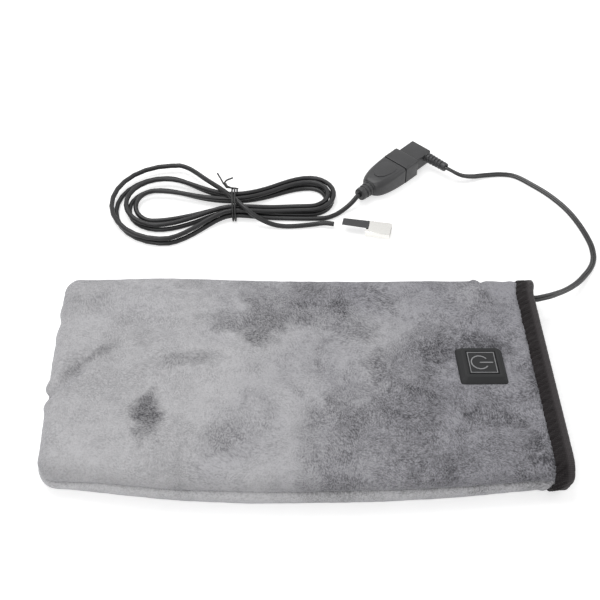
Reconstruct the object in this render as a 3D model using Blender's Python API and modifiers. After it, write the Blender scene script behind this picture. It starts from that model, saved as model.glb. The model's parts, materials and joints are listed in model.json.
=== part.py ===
"""Heated spa mitt with its power button, its plug lead and its extension cord.

The mitt is a flat plush pouch that is open at one end for the hand. Its layers are shells inside
each other: plush, wadding, a heater cloth with its wire, and a lining. A soft square button sits on
the top, near the mouth. A flat lead leaves the mouth's binding and ends in a right-angle plug, which
is pushed into the socket of an extension cord. The cord is folded into a tied hank and ends in a
straight plug.

Metres, +Z up. The origin is under the middle of the mitt, +X points to its mouth and the mitt lies
flat on z = 0.
"""
import math

import bmesh
import bpy
from mathutils import Matrix, Vector

# Clearance between pieces that touch on the real object
GAP = 0.0003
FINE_GAP = 0.00015
OVERRUN = 0.004
MERGE_DISTANCE = 0.00001
CORD_POINT_SPACING_SHARE = 1.8
OVAL_ROUNDNESS_SHARE = 2.6

# Mitt, outside
MITT_LENGTH = 0.3055
CLOSED_WIDTH = 0.1665
MOUTH_WIDTH = 0.1595
EDGE_RADIUS = 0.0120
MOUTH_EDGE_RADIUS = 0.0108
TOP_BAND = 0.0008
BOTTOM_BAND = 0.0025
MOUTH_BOTTOM_BAND = 0.0008
CROWN = 0.0025
MOUTH_SLANT = 0.0068
BOW = 0.0075
BOW_LEAN = 0.0017
BOW_SHIFT = 0.0039
MOUTH_NARROWS_FROM_SHARE = 0.55
CLOSED_END_DRAW = 0.0044
CLOSED_END_REACH = 0.0620

# Mitt, layers from the outside in
PLUSH = 0.0030
WADDING = 0.0022
HEATER_CLOTH = 0.0006
HEATING_WIRE_DIAMETER = 0.0008
LINING = 0.0015
HEM_LENGTH = 0.0140
HEM_SPACE = 0.0022
HEM_RAMP = 0.0060

# Mouth binding
BINDING_WIDTH = 0.0110
BINDING_INNER_WIDTH = 0.0070
BINDING_TAPE = 0.0008

# Heating wire's runs, lengthwise on the heater cloth
WIRE_RUNS = 6
WIRE_FIELD_LENGTH = 0.2080
WIRE_FIELD_WIDTH = 0.1050
WIRE_FIELD_X = -0.0200
WIRE_TAIL_OFFSET = 0.0055
LINK_X_OFFSETS = (0.0040, 0.0080)
LINK_TAIL_Y_OFFSET = 0.0075
CUTOUT_SIZE = (0.0090, 0.0042, 0.0016)
CUTOUT_FROM_BUTTON = 0.0370

# Button module
BUTTON_FROM_MOUTH = 0.0430
BUTTON_Y = 0.0
BUTTON_BASE = 0.0280
BUTTON_TOP = 0.0235
BUTTON_HEIGHT = 0.0037
COVER_POCKET = 0.0204
COVER_POCKET_TOP = 0.0024
COVER_BEVEL = 0.0008
CAP_SIDE = 0.0176
CAP_PROUD = 0.0001
CAP_FLANGE = 0.0010
CAP_FLANGE_WALL = 0.0011
CAP_BEVEL = 0.0003
PRESS_TRAVEL = 0.0008
TRAY_SIDE = 0.0220
TRAY_WALL = 0.0012
TRAY_DEPTH = 0.0054
TRAY_FLOOR = 0.0010
TRAY_FLANGE = 0.0008
BOARD_THICKNESS = 0.0010
SWITCH_SIDE = 0.0060
PLUNGER_RADIUS = 0.0015
PLUNGER_SEAT = 0.0005
LED_SIZE = (0.0032, 0.0016, 0.0010)
LED_OFFSET = 0.0062
CHIP_SIZE = (0.0050, 0.0044, 0.0009)
CHIP_OFFSET = 0.0062
RESISTOR_SIZE = (0.0016, 0.0008, 0.0005)
RESISTOR_OFFSET = 0.0012

# Power symbol and its square line, moulded into the cap
ICON_RING_RADIUS = 0.0052
ICON_LINE = 0.0007
ICON_OPENING_DEG = 70.0
ICON_BAR_LENGTH = 0.0081
ICON_SHIFT = 0.0015
ICON_FRAME_SIDE = 0.0164
ICON_FRAME_LINE = 0.0004
ICON_DEPTH = 0.0003
ICON_ARC_STEPS = 14

# Lead inside the mitt, from the tray to the mouth, at shares of the way across the mitt's half width
INNER_LEAD_RADIUS = 0.0008
INNER_LEAD_LANE_INSET = 0.0185
INNER_LEAD_BEND = 0.0120

# Flat lead outside, as a round tube of like size
LEAD_DIAMETER = 0.0030
LEAD_ROUTE = (
    (0.1592, 0.0671, 0.0172), (0.1638, 0.0717, 0.0148),
    (0.1705, 0.0781, 0.0113), (0.1772, 0.0851, 0.0082), (0.1835, 0.0925, 0.0057),
    (0.1890, 0.1005, 0.0038), (0.1940, 0.1085, 0.0026), (0.1973, 0.1161, 0.0019),
    (0.1988, 0.1239, 0.0017), (0.1984, 0.1354, 0.0017), (0.1944, 0.1525, 0.0017),
    (0.1878, 0.1695, 0.0017), (0.1778, 0.1851, 0.0017), (0.1666, 0.1973, 0.0017),
    (0.1560, 0.2066, 0.0017), (0.1460, 0.2090, 0.0017), (0.1340, 0.2075, 0.0021),
    (0.1245, 0.2044, 0.0035), (0.1160, 0.2028, 0.0058),
)

# Coupling of the right-angle plug and the extension's socket
COUPLING_PLACE = (0.0777, 0.2170)
COUPLING_TURN_DEG = 46.0
SOCKET_WIDTH = 0.0215
SOCKET_HEIGHT = 0.0145
SOCKET_MOUTH_LENGTH = 0.0130
SOCKET_GROOVE = 0.0008
SOCKET_GROOVE_DEPTH = 0.0012
SOCKET_BODY_LENGTH = 0.0278
SOCKET_NECK_WIDTH = 0.0106
SOCKET_CHAMFER = 0.0014
SOCKET_RELIEF_LENGTH = 0.0105
ANGLE_BLOCK_LENGTH = 0.0160
ANGLE_BLOCK_WIDTH = 0.0174
ANGLE_BLOCK_HEIGHT = 0.0108
ANGLE_CHAMFER = 0.0009
ANGLE_RELIEF_LENGTH = 0.0175
ANGLE_RELIEF_RADIUS = 0.0037
ANGLE_RELIEF_TIP = 0.0032
ANGLE_RELIEF_RISE = 0.0015
SOCKET_RELIEF_RADIUS = 0.0053
SOCKET_RELIEF_TIP = 0.0046
RIB_GROOVE = 0.0007
RIB_GROOVE_DEPTH = 0.0007
RELIEF_TIP_SHARE = 0.4
RIB_PLACE_SHARE = 0.9
RELIEF_SIDES = 16

# Plug and socket metalwork, the common flat four-contact kind
SHELL_WIDTH = 0.0120
SHELL_HEIGHT = 0.0045
SHELL_WALL = 0.0003
SHELL_INSERTION = 0.0118
SHELL_ROOT = 0.0030
TONGUE_THICKNESS = 0.0012
TONGUE_SIDE_GAP = 0.0004
CONTACT_WIDTH = 0.0010
CONTACT_THICKNESS = 0.0002
CONTACT_PITCH = 0.0022
CONTACT_COUNT = 4
CONTACT_LENGTH_SHARE = 0.72
SOCKET_LINER_WALL = 0.0004

# Extension cord
CORD_DIAMETER = 0.0033
CORD_FLOOR_GAP = 0.0001
SOCKET_END_ROUTE = (
    (0.0365, 0.1745, 0.0050), (0.0310, 0.1700, 0.0028), (0.0250, 0.1655, 0.0018),
    (0.0185, 0.1621, 0.0018),
)
PLUG_END_ROUTE = (
    (-0.0860, 0.2143, 0.0057), (-0.0780, 0.2077, 0.0062), (-0.0700, 0.1990, 0.0080),
    (-0.0620, 0.1905, 0.0099), (-0.0540, 0.1815, 0.0113), (-0.0470, 0.1730, 0.0115),
    (-0.0410, 0.1655, 0.0114),
    (-0.0350, 0.1599, 0.0096), (-0.0280, 0.1565, 0.0062), (-0.0200, 0.1545, 0.0032),
    (-0.0120, 0.1537, 0.0018), (-0.0034, 0.1537, 0.0018), (0.0080, 0.1549, 0.0020),
    (0.0150, 0.1555, 0.0027),
)

# Hank: five loops in two layers, drawn in at the waist
HANK_TURNS = 4.5
HANK_POINTS_PER_TURN = 24
SELF_GAP_SKIP_STEPS = 14
HANK_RUN_POINTS = 7
HANK_LEFT_X = -0.1026
HANK_LEFT_X_PITCH = 0.0045
HANK_WAIST_X = -0.0460
HANK_RIGHT_X = 0.0065
HANK_LEFT_Y = 0.1732
HANK_LEFT_UPPER_SHIFT = 0.0018
HANK_WAIST_Y = 0.1739
HANK_RIGHT_Y = 0.1815
HANK_RIGHT_UPPER_SHIFT = 0.0025
HANK_LEFT_INNER_RADIUS = 0.0130
HANK_LEFT_PITCH = 0.0104
HANK_LEFT_GROWTH = 1.25
HANK_RIGHT_INNER_RADIUS = 0.0108
HANK_RIGHT_PITCH = 0.0042
HANK_WAIST_HALF_WIDTH = 0.0020
HANK_WAIST_PITCH = 0.0042
HANK_LAYER_GAP = 0.0005
HANK_WAIST_LIFT = 0.0020
HANK_LIFT_REACH = 0.0300
HANK_SPIRAL_START_TURNS = 2.2
HANK_CLIMB_FROM_TURNS = 2.29
HANK_CLIMB_TO_TURNS = 2.5
HANK_UPPER_LEVEL_SHIFT = 0.2
HANK_SHIFT_TURNS = 0.5

# Twist tie round the waist
TIE_RADIUS = 0.0006
TIE_PITCH = 0.0017
TIE_RING = (
    (0.1729, 0.0150), (0.1679, 0.0150), (0.1641, 0.0130), (0.1602, 0.0088), (0.1598, 0.0034),
    (0.1606, 0.0016), (0.1623, 0.0008), (0.1831, 0.0008), (0.1849, 0.0016), (0.1857, 0.0034),
    (0.1855, 0.0084), (0.1821, 0.0122), (0.1775, 0.0145),
)
TIE_TAILS = (
    ((-0.0540, 0.1810, 0.0172), (-0.0581, 0.1915, 0.0180)),
    ((-0.0490, 0.1800, 0.0172), (-0.0472, 0.1876, 0.0172)),
)

# End plug
END_PLUG_PLACE = (0.0285, 0.1527)
END_PLUG_TURN_DEG = -11.7
END_PLUG_HEIGHT = 0.0068
END_PLUG_WIDTH = 0.0142
END_PLUG_LENGTH = 0.0205
END_PLUG_CHAMFER = 0.0011
END_PLUG_SHELL_LENGTH = 0.0140
END_PLUG_RELIEF_LENGTH = 0.0070
END_PLUG_RELIEF_RADIUS = 0.0033
END_PLUG_RELIEF_TIP = 0.0030

# How finely the soft shells are divided
ARC_STEPS = 3
FLAT_STEPS = 6
LENGTH_STEPS = 6

# Colour, roughness and metallic value of each material
FINISHES = {
    "plush_grey": ((0.40, 0.40, 0.415), 0.95, 0.0),
    "wadding_white": ((0.80, 0.80, 0.78), 0.95, 0.0),
    "heater_cloth": ((0.72, 0.70, 0.62), 0.90, 0.0),
    "heating_wire": ((0.55, 0.12, 0.08), 0.55, 0.0),
    "cutout_case": ((0.62, 0.60, 0.55), 0.50, 0.0),
    "lining_grey": ((0.48, 0.48, 0.49), 0.95, 0.0),
    "binding_black": ((0.033, 0.028, 0.029), 0.85, 0.0),
    "button_rubber": ((0.034, 0.035, 0.037), 0.55, 0.0),
    "icon_grey": ((0.26, 0.26, 0.27), 0.50, 0.0),
    "tray_plastic": ((0.05, 0.05, 0.05), 0.50, 0.0),
    "board_green": ((0.02, 0.16, 0.06), 0.45, 0.0),
    "chip_black": ((0.02, 0.02, 0.02), 0.40, 0.0),
    "led_clear": ((0.85, 0.85, 0.80), 0.20, 0.0),
    "cord_black": ((0.022, 0.022, 0.023), 0.40, 0.0),
    "plug_rubber": ((0.062, 0.062, 0.064), 0.50, 0.0),
    "nickel": ((0.80, 0.79, 0.76), 0.22, 1.0),
    "insulator_white": ((0.80, 0.80, 0.78), 0.45, 0.0),
    "contact_gold": ((0.83, 0.63, 0.28), 0.25, 1.0),
    "tie_black": ((0.02, 0.02, 0.02), 0.45, 0.0),
}

HALF_LENGTH = MITT_LENGTH / 2
SLANT_SLOPE = MOUTH_SLANT / CLOSED_WIDTH
WADDING_DEPTH = PLUSH + GAP
CLOTH_DEPTH = WADDING_DEPTH + WADDING + GAP
WIRE_DEPTH = CLOTH_DEPTH + HEATER_CLOTH + GAP + HEATING_WIRE_DIAMETER / 2
LINING_DEPTH = WIRE_DEPTH + HEATING_WIRE_DIAMETER / 2 + GAP
HEM_LINING_DEPTH = PLUSH + HEM_SPACE + GAP
MOUTH_X = HALF_LENGTH - BINDING_TAPE - GAP
HEM_X = HALF_LENGTH - HEM_LENGTH
BUTTON_X = HALF_LENGTH - BUTTON_FROM_MOUTH
MOUTH_RISE = GAP + BINDING_TAPE
RISE_X = HEM_X - (HEM_X + HALF_LENGTH - EDGE_RADIUS) / LENGTH_STEPS


def clear_scene():
    """Remove what the opened file holds."""
    for item in list(bpy.data.objects):
        bpy.data.objects.remove(item, do_unlink=True)
    for group in list(bpy.data.collections):
        bpy.data.collections.remove(group)


def make_collection(name):
    """Add a collection to the scene."""
    group = bpy.data.collections.new(name)
    bpy.context.scene.collection.children.link(group)
    return group


def finish_of(name):
    """The material of that name, made on first use."""
    material = bpy.data.materials.get(name)
    if material is None:
        colour, roughness, metallic = FINISHES[name]
        material = bpy.data.materials.new(name)
        material.use_nodes = True
        shader = material.node_tree.nodes["Principled BSDF"]
        shader.inputs["Base Color"].default_value = (*colour, 1.0)
        shader.inputs["Roughness"].default_value = roughness
        shader.inputs["Metallic"].default_value = metallic
    return material


class Shop:
    """Where finished parts and cutters go."""

    def __init__(self):
        self.parts = make_collection("heated_spa_mitt")
        self.cutters = make_collection("cutters")

    def part(self, name, data, finish, parent=None, place=None):
        """Add a finished part."""
        item = bpy.data.objects.new(name, data)
        data.materials.append(finish_of(finish))
        self.parts.objects.link(item)
        return settle(item, parent, place)

    def cutter(self, name, data, parent=None, place=None):
        """Add a shape that only cuts or joins."""
        item = bpy.data.objects.new(name, data)
        self.cutters.objects.link(item)
        item.hide_render = True
        item.display_type = "WIRE"
        return settle(item, parent, place)

    def empty(self, name, matrix):
        """Add a frame that other objects stand in."""
        item = bpy.data.objects.new(name, None)
        self.parts.objects.link(item)
        item.matrix_world = matrix
        return item


def settle(item, parent, place):
    """Set an object's parent and its place under it."""
    if parent is not None:
        item.parent = parent
    if place is not None:
        item.matrix_basis = place
    return item


def mesh_from(bm, name, smooth_deg=35.0):
    """Turn a bmesh into a mesh that is smooth below an angle."""
    bmesh.ops.recalc_face_normals(bm, faces=bm.faces)
    data = bpy.data.meshes.new(name)
    bm.to_mesh(data)
    bm.free()
    data.shade_smooth()
    data.set_sharp_from_angle(angle=math.radians(smooth_deg))
    return data


def block_mesh(name, size, centre=(0, 0, 0), top_scale=1.0):
    """A box, or a frustum where the top is scaled."""
    bm = bmesh.new()
    made = bmesh.ops.create_cube(bm, size=1.0)
    for vert in made["verts"]:
        taper = top_scale if vert.co.z > 0 else 1.0
        vert.co.x *= size[0] * taper
        vert.co.y *= size[1] * taper
        vert.co.z *= size[2]
        vert.co += Vector(centre)
    return mesh_from(bm, name)


def rod_mesh(name, radius, low, high, sides=20):
    """A cylinder between two points."""
    low, high = Vector(low), Vector(high)
    along = high - low
    turn = along.to_track_quat("Z", "Y").to_matrix().to_4x4()
    bm = bmesh.new()
    bmesh.ops.create_cone(
        bm, cap_ends=True, segments=sides, radius1=radius, radius2=radius,
        depth=along.length, matrix=Matrix.Translation((low + high) / 2) @ turn)
    return mesh_from(bm, name)


def add_bevel(item, width, segments=2, angle_deg=30.0):
    """Round the edges that are sharper than an angle."""
    bevel = item.modifiers.new("bevel", "BEVEL")
    bevel.width = width
    bevel.segments = segments
    bevel.limit_method = "ANGLE"
    bevel.angle_limit = math.radians(angle_deg)


def add_boolean(item, tool, operation="DIFFERENCE"):
    """Cut a shape out of an object, or join it on."""
    cut = item.modifiers.new(tool.name, "BOOLEAN")
    cut.operation = operation
    cut.solver = "EXACT"
    cut.object = tool


def add_wall(item, thickness, even=False):
    """Thicken an open surface inwards."""
    wall = item.modifiers.new("wall", "SOLIDIFY")
    wall.thickness = thickness
    wall.offset = -1.0
    wall.use_even_offset = even


def smooth_step(share):
    """Ease from 0 to 1."""
    share = min(max(share, 0.0), 1.0)
    return share * share * (3.0 - 2.0 * share)


def smooth_route(points, spacing):
    """Points at an even spacing on a smooth curve through a route's own points."""
    knots = [Vector(point) for point in points]
    knots = [2 * knots[0] - knots[1]] + knots + [2 * knots[-1] - knots[-2]]
    fine = []
    for before, start, end, after in zip(knots, knots[1:], knots[2:], knots[3:]):
        for step in range(12):
            share = step / 12
            fine.append(0.5 * (
                2 * start + (end - before) * share
                + (2 * before - 5 * start + 4 * end - after) * share ** 2
                + (3 * start - before - 3 * end + after) * share ** 3))
    fine.append(knots[-2])
    lengths = [0.0]
    for first, second in zip(fine, fine[1:]):
        lengths.append(lengths[-1] + (second - first).length)
    count = max(2, round(lengths[-1] / spacing))
    even, index = [], 0
    for step in range(count + 1):
        target = lengths[-1] * step / count
        while index < len(lengths) - 2 and lengths[index + 1] < target:
            index += 1
        stretch = lengths[index + 1] - lengths[index]
        even.append(fine[index].lerp(fine[index + 1], (target - lengths[index]) / stretch))
    return even


def cord_points(start, start_heading, route, end, end_heading, diameter):
    """Points of a cord that leaves and arrives straight for one diameter."""
    places = [start + start_heading * diameter, *route, end - end_heading * diameter]
    inner = smooth_route(places, CORD_POINT_SPACING_SHARE * diameter)
    return [start, *inner, end]


def route_length(points):
    """Length of a line through points."""
    return sum((second - first).length for first, second in zip(points, points[1:]))


def tube_curve(name, points, radius, resolution=2, cyclic=False):
    """A round tube along points, as a curve with a bevel."""
    data = bpy.data.curves.new(name, "CURVE")
    data.dimensions = "3D"
    data.bevel_depth = radius
    data.bevel_resolution = resolution
    data.use_fill_caps = not cyclic
    spline = data.splines.new("POLY")
    spline.points.add(len(points) - 1)
    for knot, point in zip(spline.points, points):
        knot.co = (*point, 1.0)
    spline.use_cyclic_u = cyclic
    return data


def mesh_of_curve(name, data):
    """A curve's solid as a welded mesh."""
    holder = bpy.data.objects.new(name + "_curve", data)
    bpy.context.scene.collection.objects.link(holder)
    graph = bpy.context.evaluated_depsgraph_get()
    mesh = bpy.data.meshes.new_from_object(holder.evaluated_get(graph))
    bpy.data.objects.remove(holder, do_unlink=True)
    bm = bmesh.new()
    bm.from_mesh(mesh)
    bmesh.ops.remove_doubles(bm, verts=bm.verts, dist=MERGE_DISTANCE)
    bpy.data.meshes.remove(mesh)
    return mesh_from(bm, name)


def plate_mesh(name, outlines, thickness):
    """A flat plate with the outlines given, centred on z = 0."""
    data = bpy.data.curves.new(name + "_outline", "CURVE")
    data.dimensions = "2D"
    data.fill_mode = "BOTH"
    data.extrude = thickness / 2
    for outline in outlines:
        spline = data.splines.new("POLY")
        spline.points.add(len(outline) - 1)
        for knot, (x, y) in zip(spline.points, outline):
            knot.co = (x, y, 0.0, 1.0)
        spline.use_cyclic_u = True
    return mesh_of_curve(name, data)


def half_width(x):
    """Half of the mitt's outer width at x."""
    share = (x / MITT_LENGTH + 0.5 - MOUTH_NARROWS_FROM_SHARE) / (1.0 - MOUTH_NARROWS_FROM_SHARE)
    drawn = smooth_step(1.0 - (x + HALF_LENGTH - EDGE_RADIUS) / CLOSED_END_REACH)
    width = CLOSED_WIDTH - (CLOSED_WIDTH - MOUTH_WIDTH) * smooth_step(share)
    return width / 2 - CLOSED_END_DRAW * drawn


def edge_radius(x):
    """Radius of the mitt's rounded sides at x."""
    share = (x / MITT_LENGTH + 0.5 - MOUTH_NARROWS_FROM_SHARE) / (1.0 - MOUTH_NARROWS_FROM_SHARE)
    return EDGE_RADIUS - (EDGE_RADIUS - MOUTH_EDGE_RADIUS) * smooth_step(share)


def mouth_share(x):
    """How far the bottom has risen to make room for the binding under it."""
    return min(max((x - RISE_X) / (HEM_X - RISE_X), 0.0), 1.0)


def bottom_height(x):
    """Height of the bottom's outer face at x."""
    return MOUTH_RISE * mouth_share(x)


def bottom_band(x):
    """Height of the upright band between the seam and the bottom's rolled edge."""
    return BOTTOM_BAND + (MOUTH_BOTTOM_BAND - BOTTOM_BAND) * mouth_share(x)


def seam_height(x):
    """Height of the side seam at x."""
    return bottom_height(x) + bottom_band(x) + edge_radius(x)


def crown_rise(x, y):
    """How far the top's middle stands above its sides."""
    core = half_width(x) - edge_radius(x)
    along = 1.0 - (abs(x) / (HALF_LENGTH - EDGE_RADIUS)) ** 4
    across = 1.0 - (y / core) ** 2
    return CROWN * max(along, 0.0) * max(across, 0.0)


def slanted(x, y, z):
    """Shear a point so that the mouth's far corner is drawn back, and bow the mitt sideways."""
    share = (x + HALF_LENGTH) / MITT_LENGTH
    along = x / HALF_LENGTH
    bow = BOW * along ** 2 - BOW_LEAN * along - BOW_SHIFT
    return Vector((x - SLANT_SLOPE * (y + CLOSED_WIDTH / 2) * share, y + bow, z))


def lining_depth(x):
    """Depth of the lining's outer face, which comes up to the plush in the hem."""
    share = min(max((x - HEM_X) / HEM_RAMP, 0.0), 1.0)
    return LINING_DEPTH + (HEM_LINING_DEPTH - LINING_DEPTH) * share


def length_stations(mouth_x):
    """Places along the mitt from its closed end's roll to the hem, and on to the mouth."""
    start = -HALF_LENGTH + EDGE_RADIUS
    places = [start + (HEM_X - start) * step / LENGTH_STEPS for step in range(LENGTH_STEPS + 1)]
    return places + ([HEM_X + HEM_RAMP, mouth_x] if mouth_x > HEM_X else [])


def station_height(x, y):
    """Height of the top's facets at y, on one of the stations."""
    core = half_width(x) - edge_radius(x)
    place = (y / core + 1.0) / 2.0 * FLAT_STEPS
    index = min(max(math.floor(place), 0), FLAT_STEPS - 1)
    low, high = (crown_rise(x, core * (2.0 * edge / FLAT_STEPS - 1.0)) for edge in (index, index + 1))
    return seam_height(x) + TOP_BAND + edge_radius(x) + low + (high - low) * (place - index)


def face_point(x, y, depth, upper=True):
    """A point on the flat of the top or the bottom, at a depth under the plush's face."""
    if not upper:
        return slanted(x, y, bottom_height(x) + depth)
    stations = length_stations(MOUTH_X)
    index = max([0] + [step for step in range(len(stations) - 1) if stations[step] <= x])
    start, end = stations[index], stations[index + 1]
    low, high = station_height(start, y), station_height(end, y)
    return slanted(x, y, low + (high - low) * (x - start) / (end - start) - depth)


def section_columns():
    """Across the mitt: (side, angle up the rolled edge, share of the flat), near side first."""
    rolled = [90.0 * step / ARC_STEPS for step in range(ARC_STEPS + 1)]
    near = [(-1, None, 1.0)] + [(-1, angle, 1.0) for angle in rolled]
    flat = [(0, 90.0, 2.0 * step / FLAT_STEPS - 1.0) for step in range(1, FLAT_STEPS)]
    far = [(1, angle, 1.0) for angle in reversed(rolled)] + [(1, None, 1.0)]
    return near + flat + far


def section_point(x, roll_deg, column, depth, upper):
    """One point of a layer. roll_deg is None on the seam, and 90 past the closed end's roll."""
    side, lift_deg, share = column
    radius = edge_radius(x)
    core = half_width(x) - radius
    reach = radius - depth
    band, sign = (TOP_BAND, 1) if upper else (bottom_band(x), -1)
    roll = math.radians(roll_deg or 0.0)
    lift = math.radians(lift_deg or 0.0)
    back = reach * math.cos(roll)
    around = reach * math.sin(roll)
    on_seam = roll_deg is None or lift_deg is None
    level = GAP / 2 if on_seam else band
    if side == 0:
        y = core * share
        rise = around
    else:
        y = side * (core + around * math.cos(lift))
        rise = 0.0 if on_seam else around * math.sin(lift)
    z = seam_height(x) + sign * (level + (0.0 if on_seam else rise))
    if upper and side == 0 and not on_seam:
        z += crown_rise(x, y)
    return slanted(x - back, y, z)


def layer_mesh(name, upper, depth_at, mouth_x):
    """One open layer of the mitt, with its three closed edges on the seam."""
    start = -HALF_LENGTH + EDGE_RADIUS
    rows = [(start, None)] + [(start, 90.0 * step / ARC_STEPS) for step in range(ARC_STEPS)]
    rows += [(x, 90.0) for x in length_stations(mouth_x)]
    columns = section_columns()
    bm = bmesh.new()
    bmesh.ops.create_grid(bm, x_segments=len(rows) - 1, y_segments=len(columns) - 1, size=1.0)
    for vert in bm.verts:
        x, roll_deg = rows[round((vert.co.x + 1.0) / 2.0 * (len(rows) - 1))]
        column = columns[round((vert.co.y + 1.0) / 2.0 * (len(columns) - 1))]
        vert.co = section_point(x, roll_deg, column, depth_at(x), upper)
    bmesh.ops.remove_doubles(bm, verts=bm.verts, dist=MERGE_DISTANCE)
    bmesh.ops.dissolve_degenerate(bm, edges=bm.edges, dist=MERGE_DISTANCE)
    bmesh.ops.recalc_face_normals(bm, faces=bm.faces)
    facing = sum(face.normal.z * face.calc_area() for face in bm.faces)
    if (facing > 0) != upper:
        bmesh.ops.reverse_faces(bm, faces=bm.faces)
    data = bpy.data.meshes.new(name)
    bm.to_mesh(data)
    bm.free()
    data.shade_smooth()
    return data


def make_layer(shop, name, upper, depth_at, thickness, mouth_x, finish):
    """A layer of the mitt with its thickness."""
    item = shop.part(name, layer_mesh(name, upper, depth_at, mouth_x), finish)
    add_wall(item, thickness)
    return item


def make_layers(shop):
    """Plush, wadding, heater cloth and lining, each above and below the hand."""
    layers = {}
    for side, upper in (("top", True), ("bottom", False)):
        layers["outer_" + side] = make_layer(
            shop, "outer_" + side + "_panel", upper, lambda x: 0.0, PLUSH, MOUTH_X, "plush_grey")
        layers["wadding_" + side] = make_layer(
            shop, "wadding_" + side, upper, lambda x: WADDING_DEPTH, WADDING, HEM_X,
            "wadding_white")
        layers["cloth_" + side] = make_layer(
            shop, "heater_cloth_" + side, upper, lambda x: CLOTH_DEPTH, HEATER_CLOTH, HEM_X,
            "heater_cloth")
        layers["lining_" + side] = make_layer(
            shop, "lining_" + side, upper, lining_depth, LINING, MOUTH_X, "lining_grey")
    return layers


def ring_columns():
    """All the way round the mouth: (upper, column) pairs without doubles."""
    columns = section_columns()
    upper = [(True, column) for column in columns if column[1] is not None]
    lower = [(False, column) for column in reversed(columns) if column[1] is not None]
    return upper + lower


def make_binding(shop):
    """The tape that is folded over the mouth's edge all the way round."""
    over, under = -GAP - BINDING_TAPE, -GAP
    deep = HEM_LINING_DEPTH + LINING + GAP + BINDING_TAPE
    back_x, end_x = HALF_LENGTH - BINDING_WIDTH, HALF_LENGTH - BINDING_INNER_WIDTH
    fold_x = HALF_LENGTH - BINDING_TAPE
    profile = (
        (back_x, over), (HALF_LENGTH, over), (HALF_LENGTH, deep), (end_x, deep),
        (end_x, deep - BINDING_TAPE), (fold_x, deep - BINDING_TAPE), (fold_x, under), (back_x, under))
    ring = ring_columns()
    bm = bmesh.new()
    bmesh.ops.create_grid(bm, x_segments=len(profile), y_segments=len(ring), size=1.0)
    for vert in bm.verts:
        x, depth = profile[round((vert.co.x + 1.0) / 2.0 * len(profile)) % len(profile)]
        upper, column = ring[round((vert.co.y + 1.0) / 2.0 * len(ring)) % len(ring)]
        vert.co = section_point(x, 90.0, column, depth, upper)
    bmesh.ops.remove_doubles(bm, verts=bm.verts, dist=MERGE_DISTANCE)
    return shop.part("mouth_binding", mesh_from(bm, "mouth_binding", 60.0), "binding_black")


def button_frame(shop):
    """An empty on the top's face, square to the plush, at the button's place."""
    reach = BUTTON_BASE / 2
    centre = face_point(BUTTON_X, BUTTON_Y, 0.0)
    along = face_point(BUTTON_X + reach, BUTTON_Y, 0.0) - face_point(BUTTON_X - reach, BUTTON_Y, 0.0)
    across = face_point(BUTTON_X, BUTTON_Y + reach, 0.0) - face_point(BUTTON_X, BUTTON_Y - reach, 0.0)
    across -= along * (across.dot(along) / along.dot(along))
    normal = along.cross(across).normalized()
    turn = Matrix((along.normalized(), across.normalized(), normal)).transposed().to_4x4()
    print("button axis", [round(value, 5) for value in normal])
    return shop.empty("button_frame", Matrix.Translation(centre) @ turn)


def make_tray(shop, frame):
    """The tray under the plush that holds the board, with its flange."""
    floor_z = -TRAY_DEPTH
    tray = shop.part(
        "controller_base",
        block_mesh("controller_base", (TRAY_SIDE, TRAY_SIDE, TRAY_DEPTH), (0, 0, floor_z / 2)),
        "tray_plastic", frame)
    flange_z = -PLUSH - GAP - TRAY_FLANGE / 2
    flange = shop.cutter(
        "tray_flange", block_mesh("tray_flange", (BUTTON_BASE, BUTTON_BASE, TRAY_FLANGE), (0, 0, flange_z)),
        frame)
    inner = TRAY_SIDE - 2 * TRAY_WALL
    depth = TRAY_DEPTH - TRAY_FLOOR
    pocket = shop.cutter(
        "tray_pocket",
        block_mesh("tray_pocket", (inner, inner, depth + OVERRUN), (0, 0, (OVERRUN - depth) / 2)), frame)
    notch_width = 2 * INNER_LEAD_RADIUS + 4 * GAP
    notch_y = TRAY_SIDE / 2 + FINE_GAP
    notch_length = BUTTON_BASE / 2 - notch_y + OVERRUN
    notch = shop.cutter(
        "flange_notch",
        block_mesh("flange_notch", (notch_width, notch_length, TRAY_DEPTH),
                   (0, notch_y + notch_length / 2, flange_z)), frame)
    add_boolean(flange, notch)
    add_boolean(tray, flange, "UNION")
    add_boolean(tray, pocket)


def make_cover(shop, frame):
    """The soft square cover that stands on the plush, open for the cap."""
    height = BUTTON_HEIGHT - GAP
    cover = shop.part(
        "controller_cover",
        block_mesh("controller_cover", (BUTTON_BASE, BUTTON_BASE, height), (0, 0, GAP + height / 2),
                   BUTTON_TOP / BUTTON_BASE),
        "button_rubber", frame)
    add_bevel(cover, COVER_BEVEL)
    pocket_height = COVER_POCKET_TOP + OVERRUN
    pocket = shop.cutter(
        "cover_pocket",
        block_mesh("cover_pocket", (COVER_POCKET, COVER_POCKET, pocket_height),
                   (0, 0, COVER_POCKET_TOP - pocket_height / 2)), frame)
    opening_side = CAP_SIDE + 2 * GAP
    opening = shop.cutter(
        "cover_opening",
        block_mesh("cover_opening", (opening_side, opening_side, BUTTON_HEIGHT + OVERRUN),
                   (0, 0, (BUTTON_HEIGHT + OVERRUN) / 2)), frame)
    add_boolean(cover, pocket)
    add_boolean(cover, opening)


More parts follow.
